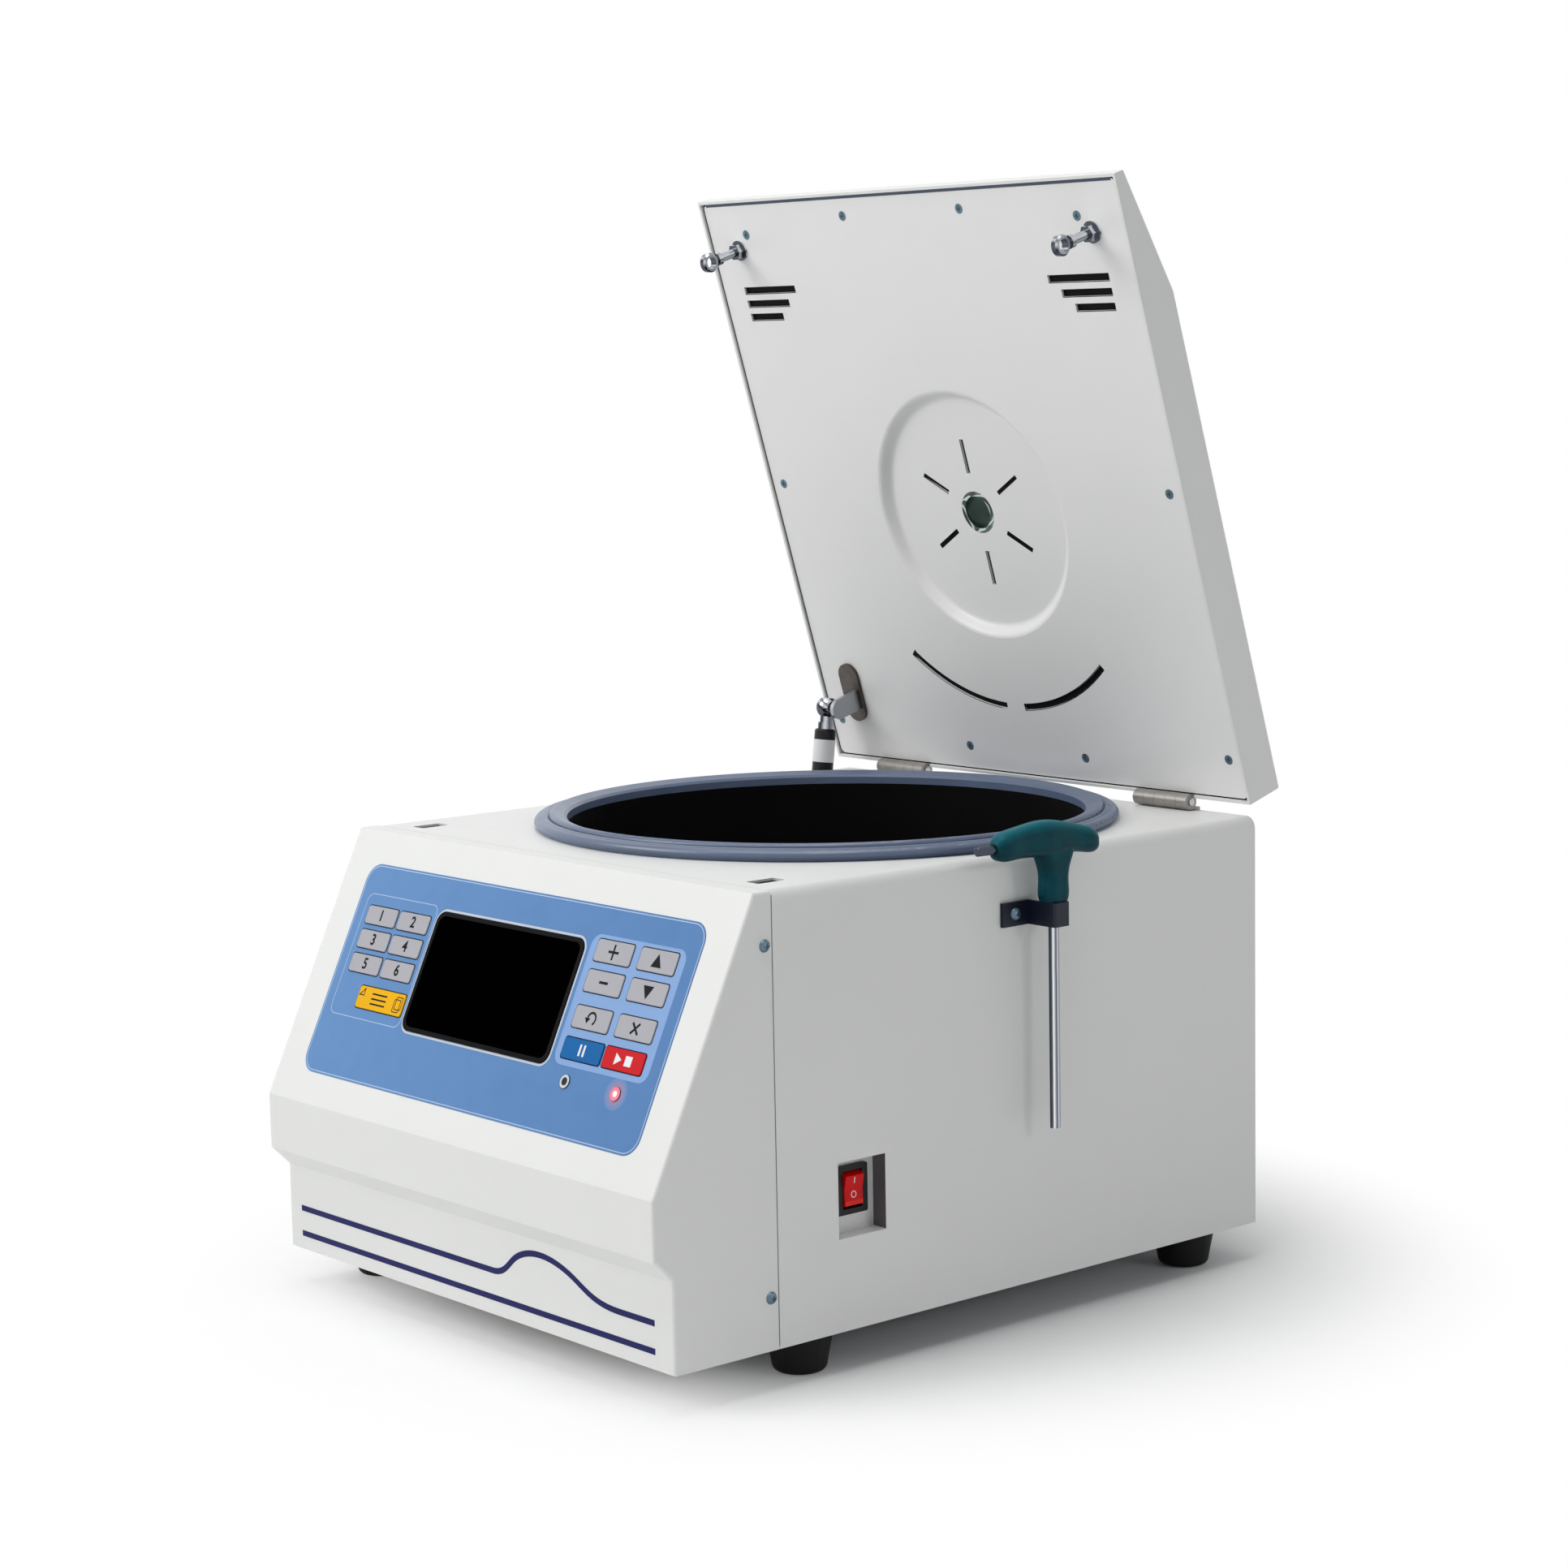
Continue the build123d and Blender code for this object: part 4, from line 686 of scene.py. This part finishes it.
def strut_label():
    """Blank white wrap near the top of the strut's cylinder."""
    top = Vector((-0.184, 0.1631, 0.3575))
    foot = Vector((-0.184, 0.1385, 0.157))
    steps = 32
    way = (foot - top).normalized()
    side = Vector((1, 0, 0))
    other = way.cross(side)
    mesh = bpy.data.meshes.new("strut_label")
    bm = bmesh.new()
    rows = []
    for radius in (8.02, 8.14):
        for along in (24.0, 41.0):
            row = []
            for k in range(steps + 1):
                angle = math.radians(-150 + 300 * k / steps)
                out = (side * math.cos(angle) + other * math.sin(angle)) * radius * MM
                row.append(bm.verts.new(top + way * along * MM + out))
            rows.append(row)
    for k in range(steps):
        bm.faces.new((rows[0][k], rows[0][k + 1], rows[1][k + 1], rows[1][k]))
        bm.faces.new((rows[2][k], rows[3][k], rows[3][k + 1], rows[2][k + 1]))
        bm.faces.new((rows[0][k], rows[2][k], rows[2][k + 1], rows[0][k + 1]))
        bm.faces.new((rows[1][k], rows[1][k + 1], rows[3][k + 1], rows[3][k]))
    for k in (0, steps):
        bm.faces.new((rows[0][k], rows[1][k], rows[3][k], rows[2][k]))
    bmesh.ops.recalc_face_normals(bm, faces=bm.faces)
    bm.to_mesh(mesh)
    bm.free()
    mesh.materials.append(label_print.material)
    piece = bpy.data.objects.new("strut_label", mesh)
    scene.collection.objects.link(piece)
    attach(piece, "strut_cylinder")


def rocker_marks():
    """A bar on the rocker's upper half, and a ring and a lit band on its lower half."""
    low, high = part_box("power_rocker")
    pivot = Vector((0.1984, (low[1] + high[1]) / 2, 0.1115))
    tilt = math.radians(3.5)
    out = Vector((math.cos(tilt), 0, -math.sin(tilt)))
    rise = Vector((math.sin(tilt), 0, math.cos(tilt)))
    # From its middle to each end, the rocker's face rises by swell over half, in mm
    middle_reach, swell, half = 3.4, 1.2, 9.5
    slant = math.atan2(swell, half)
    marks = (("rocker_on_mark", [bar(0, 0, 0.7, 4.0)], 6.4, ink_pale),
             ("rocker_off_mark", [circle(0, 0, 2.2), circle(0, 0, 1.65)], -2.8, ink_pale),
             ("rocker_low_band", [bar(0, 0, 14.2, 2.8)], -7.9, lit_red))
    for name, loops, t, one in marks:
        turn = tilt + (slant if t > 0 else -slant)
        up = Vector((math.sin(turn), 0, math.cos(turn)))
        reach = middle_reach + swell * abs(t) / half
        origin = pivot + out * reach * MM + rise * t * MM
        inlay(name, loops, plane_matrix(origin, (0, 1, 0), up), 0.0, 0.1, one, "rocker")


# The lid's lining, in mm: heights of its face and back above the lid's plane, its dish and the vents there

LINING_FACE = -2.0
LINING_BACK = -3.5
DISH_DEPTH = 7.0
DISH_Y = 200.5
ARC_RADIUS = 145
RAY_START = 29
RAY_END = 54


def lid_vents():
    """Painted shade for the dark space seen through the lining's vents: a sheet behind each, and a dark edge
    round it.
    """
    vents = []
    for side in (1, -1):
        for row, inner_x in enumerate((128, 138, 148)):
            y = 369 - 10 * row
            ends = (side * inner_x, y, side * 184, y)
            vents.append((f"vent_{row + 1}_{side}", straight_band, ends, 2.3, 0.0))
    for k, (start, end) in enumerate(((-86.5, -48.5), (-131.5, -93.5))):
        vents.append((f"arc_{k + 1}", curved_band, (0, DISH_Y, ARC_RADIUS, start, end), 2.25, 0.0))
    for k in range(6):
        a = math.radians(90 + 60 * k)
        u, v = math.cos(a), math.sin(a)
        ends = (RAY_START * u, DISH_Y + RAY_START * v, RAY_END * u, DISH_Y + RAY_END * v)
        vents.append((f"ray_{k + 1}", straight_band, ends, 1.25, DISH_DEPTH))
    for name, band, ends, half, depth in vents:
        face = LINING_FACE - depth
        back = LINING_BACK - depth
        # Painted shade: a dark edge on the lining's face round each vent, and a dark sheet behind it
        edge = [band(*ends, half + 0.5), band(*ends, half)]
        inlay(name + "_edge", edge, LID, face, face + 0.05, vent_shadow, "lid")
        inlay(name + "_back", [band(*ends, half + 1.2)], LID, back - 0.6, back - 0.5, vent_shadow, "lid")


def lid_seam():
    """Shaded gap between the lid's rim and its lining, wider along the top."""
    ring = rounded_frame(0, 218.5, 415.8, 432.8, 4.9, 0.9, 4.0)
    inlay("lid_seam_ring", ring, LID, -2.3, -1.95, vent_shadow, "lid")
    inlay("lid_seam_top", [bar(0, 433.5, 408, 2.2)], LID, -1.95, -1.9, seam_shade, "lid")


def pocket_wall():
    """Painted shade on the rear wall of the switch pocket."""
    place = plane_matrix((0.204, -0.1395, 0.1085), (1, 0, 0), (0, 0, 1))
    inlay("pocket_rear_wall", [bar(0, 0, 11.6, 47.6)], place, 0.0, 0.05, pocket_painted_shade, "housing")


def casing_seam():
    """Dark joint between the front piece and the folded housing, down each side."""
    casing_half, joint_offset, joint_width, end_gaps = 210, 0.25, 0.7, 5
    low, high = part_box("front_fascia")
    y = high[1] + joint_offset * MM
    middle = (high[2] + low[2]) / 2 / MM
    tall = (high[2] - low[2]) / MM
    for side in (1, -1):
        place = plane_matrix((side * casing_half * MM, y, 0), (0, side, 0), (0, 0, 1))
        strip = bar(0, middle, joint_width, tall - end_gaps)
        inlay(f"casing_seam_{side}", [strip], place, 0.0, 0.04, seam_grey, "housing")


strut_label()
rocker_marks()
lid_vents()
lid_seam()
pocket_wall()
casing_seam()


# Floor, backdrop and light

def seen(tree):
    """1 for rays from the camera, a mirror or glass, and 0 for those that light the object."""
    path = tree.nodes.new("ShaderNodeLightPath")
    total = path.outputs["Is Camera Ray"]
    for name in ("Is Glossy Ray", "Is Transmission Ray"):
        add = tree.nodes.new("ShaderNodeMath")
        add.operation = "MAXIMUM"
        tree.links.new(total, add.inputs[0])
        tree.links.new(path.outputs[name], add.inputs[1])
        total = add.outputs["Value"]
    return total


FLOOR_HALF = 9.0
FLOOR_DROP = 0.0003
FADE_START = 0.22
FADE_END = 0.48


def floor():
    """A pale floor, just under the feet, that turns plain white away from the object."""
    mesh = bpy.data.meshes.new("floor")
    s = FLOOR_HALF
    mesh.from_pydata([(-s, -s, 0), (s, -s, 0), (s, s, 0), (-s, s, 0)], [], [(0, 1, 2, 3)])
    f = Finish("floor")
    grain = f.noise(30.0, 3.0)
    f.colour(srgb(250, 250, 250), srgb(253, 253, 253), grain)
    f.roughness(0.75, 0.85, grain)
    f.bump(f.noise(400.0), 0.05, 0.05 * MM)
    mesh.materials.append(f.material)
    piece = bpy.data.objects.new("floor", mesh)
    scene.collection.objects.link(piece)
    piece.location = (0, 0, -FLOOR_DROP)
    length = f.node("ShaderNodeVectorMath", operation="LENGTH")
    f.link(f.coords.outputs["Object"], length.inputs[0])
    fade = f.mapped(length.outputs["Value"], FADE_START, FADE_END, interpolation_type="SMOOTHSTEP")
    share = f.node("ShaderNodeMath", operation="MULTIPLY")
    f.link(fade, share.inputs[0])
    f.link(seen(f.tree), share.inputs[1])
    glow = f.node("ShaderNodeEmission")
    glow.inputs["Color"].default_value = (1, 1, 1, 1)
    glow.inputs["Strength"].default_value = 1.0
    mix = f.node("ShaderNodeMixShader")
    out = f.tree.nodes["Material Output"]
    f.link(share.outputs["Value"], mix.inputs["Fac"])
    f.link(f.shader.outputs["BSDF"], mix.inputs[1])
    f.link(glow.outputs["Emission"], mix.inputs[2])
    f.link(mix.outputs["Shader"], out.inputs["Surface"])


def world():
    """A soft pale surround for lighting, and plain white where it is seen."""
    w = bpy.data.worlds.new("studio")
    scene.world = w
    w.use_nodes = True
    tree = w.node_tree
    soft = tree.nodes["Background"]
    soft.inputs["Color"].default_value = (0.96, 0.98, 1.0, 1)
    soft.inputs["Strength"].default_value = 0.22
    white = tree.nodes.new("ShaderNodeBackground")
    white.inputs["Color"].default_value = (1, 1, 1, 1)
    white.inputs["Strength"].default_value = 1.0
    mix = tree.nodes.new("ShaderNodeMixShader")
    tree.links.new(seen(tree), mix.inputs["Fac"])
    tree.links.new(soft.outputs["Background"], mix.inputs[1])
    tree.links.new(white.outputs["Background"], mix.inputs[2])
    tree.links.new(mix.outputs["Shader"], tree.nodes["World Output"].inputs["Surface"])


def lamp(name, place, target, width, height, power, colour=(1, 1, 1)):
    """A rectangular area light turned to a target, with sizes in metres and power in watts."""
    data = bpy.data.lights.new(name, "AREA")
    data.shape = "RECTANGLE"
    data.size = width
    data.size_y = height
    data.energy = power
    data.color = colour
    light = bpy.data.objects.new(name, data)
    scene.collection.objects.link(light)
    light.location = place
    light.rotation_euler = (Vector(target) - Vector(place)).to_track_quat("-Z", "Y").to_euler()


floor()
world()
lamp("key_light", (-1.6, -3.0, 2.4), (0, -0.1, 0.3), 2.2, 1.8, 68, (1.0, 0.997, 0.99))
lamp("fill_light", (2.4, 0.75, 0.95), (0.2, -0.05, 0.2), 0.45, 0.45, 4.5, (0.98, 0.99, 1.0))
lamp("top_light", (0.0, -0.6, 3.2), (0, 0, 0.3), 2.2, 2.2, 44)
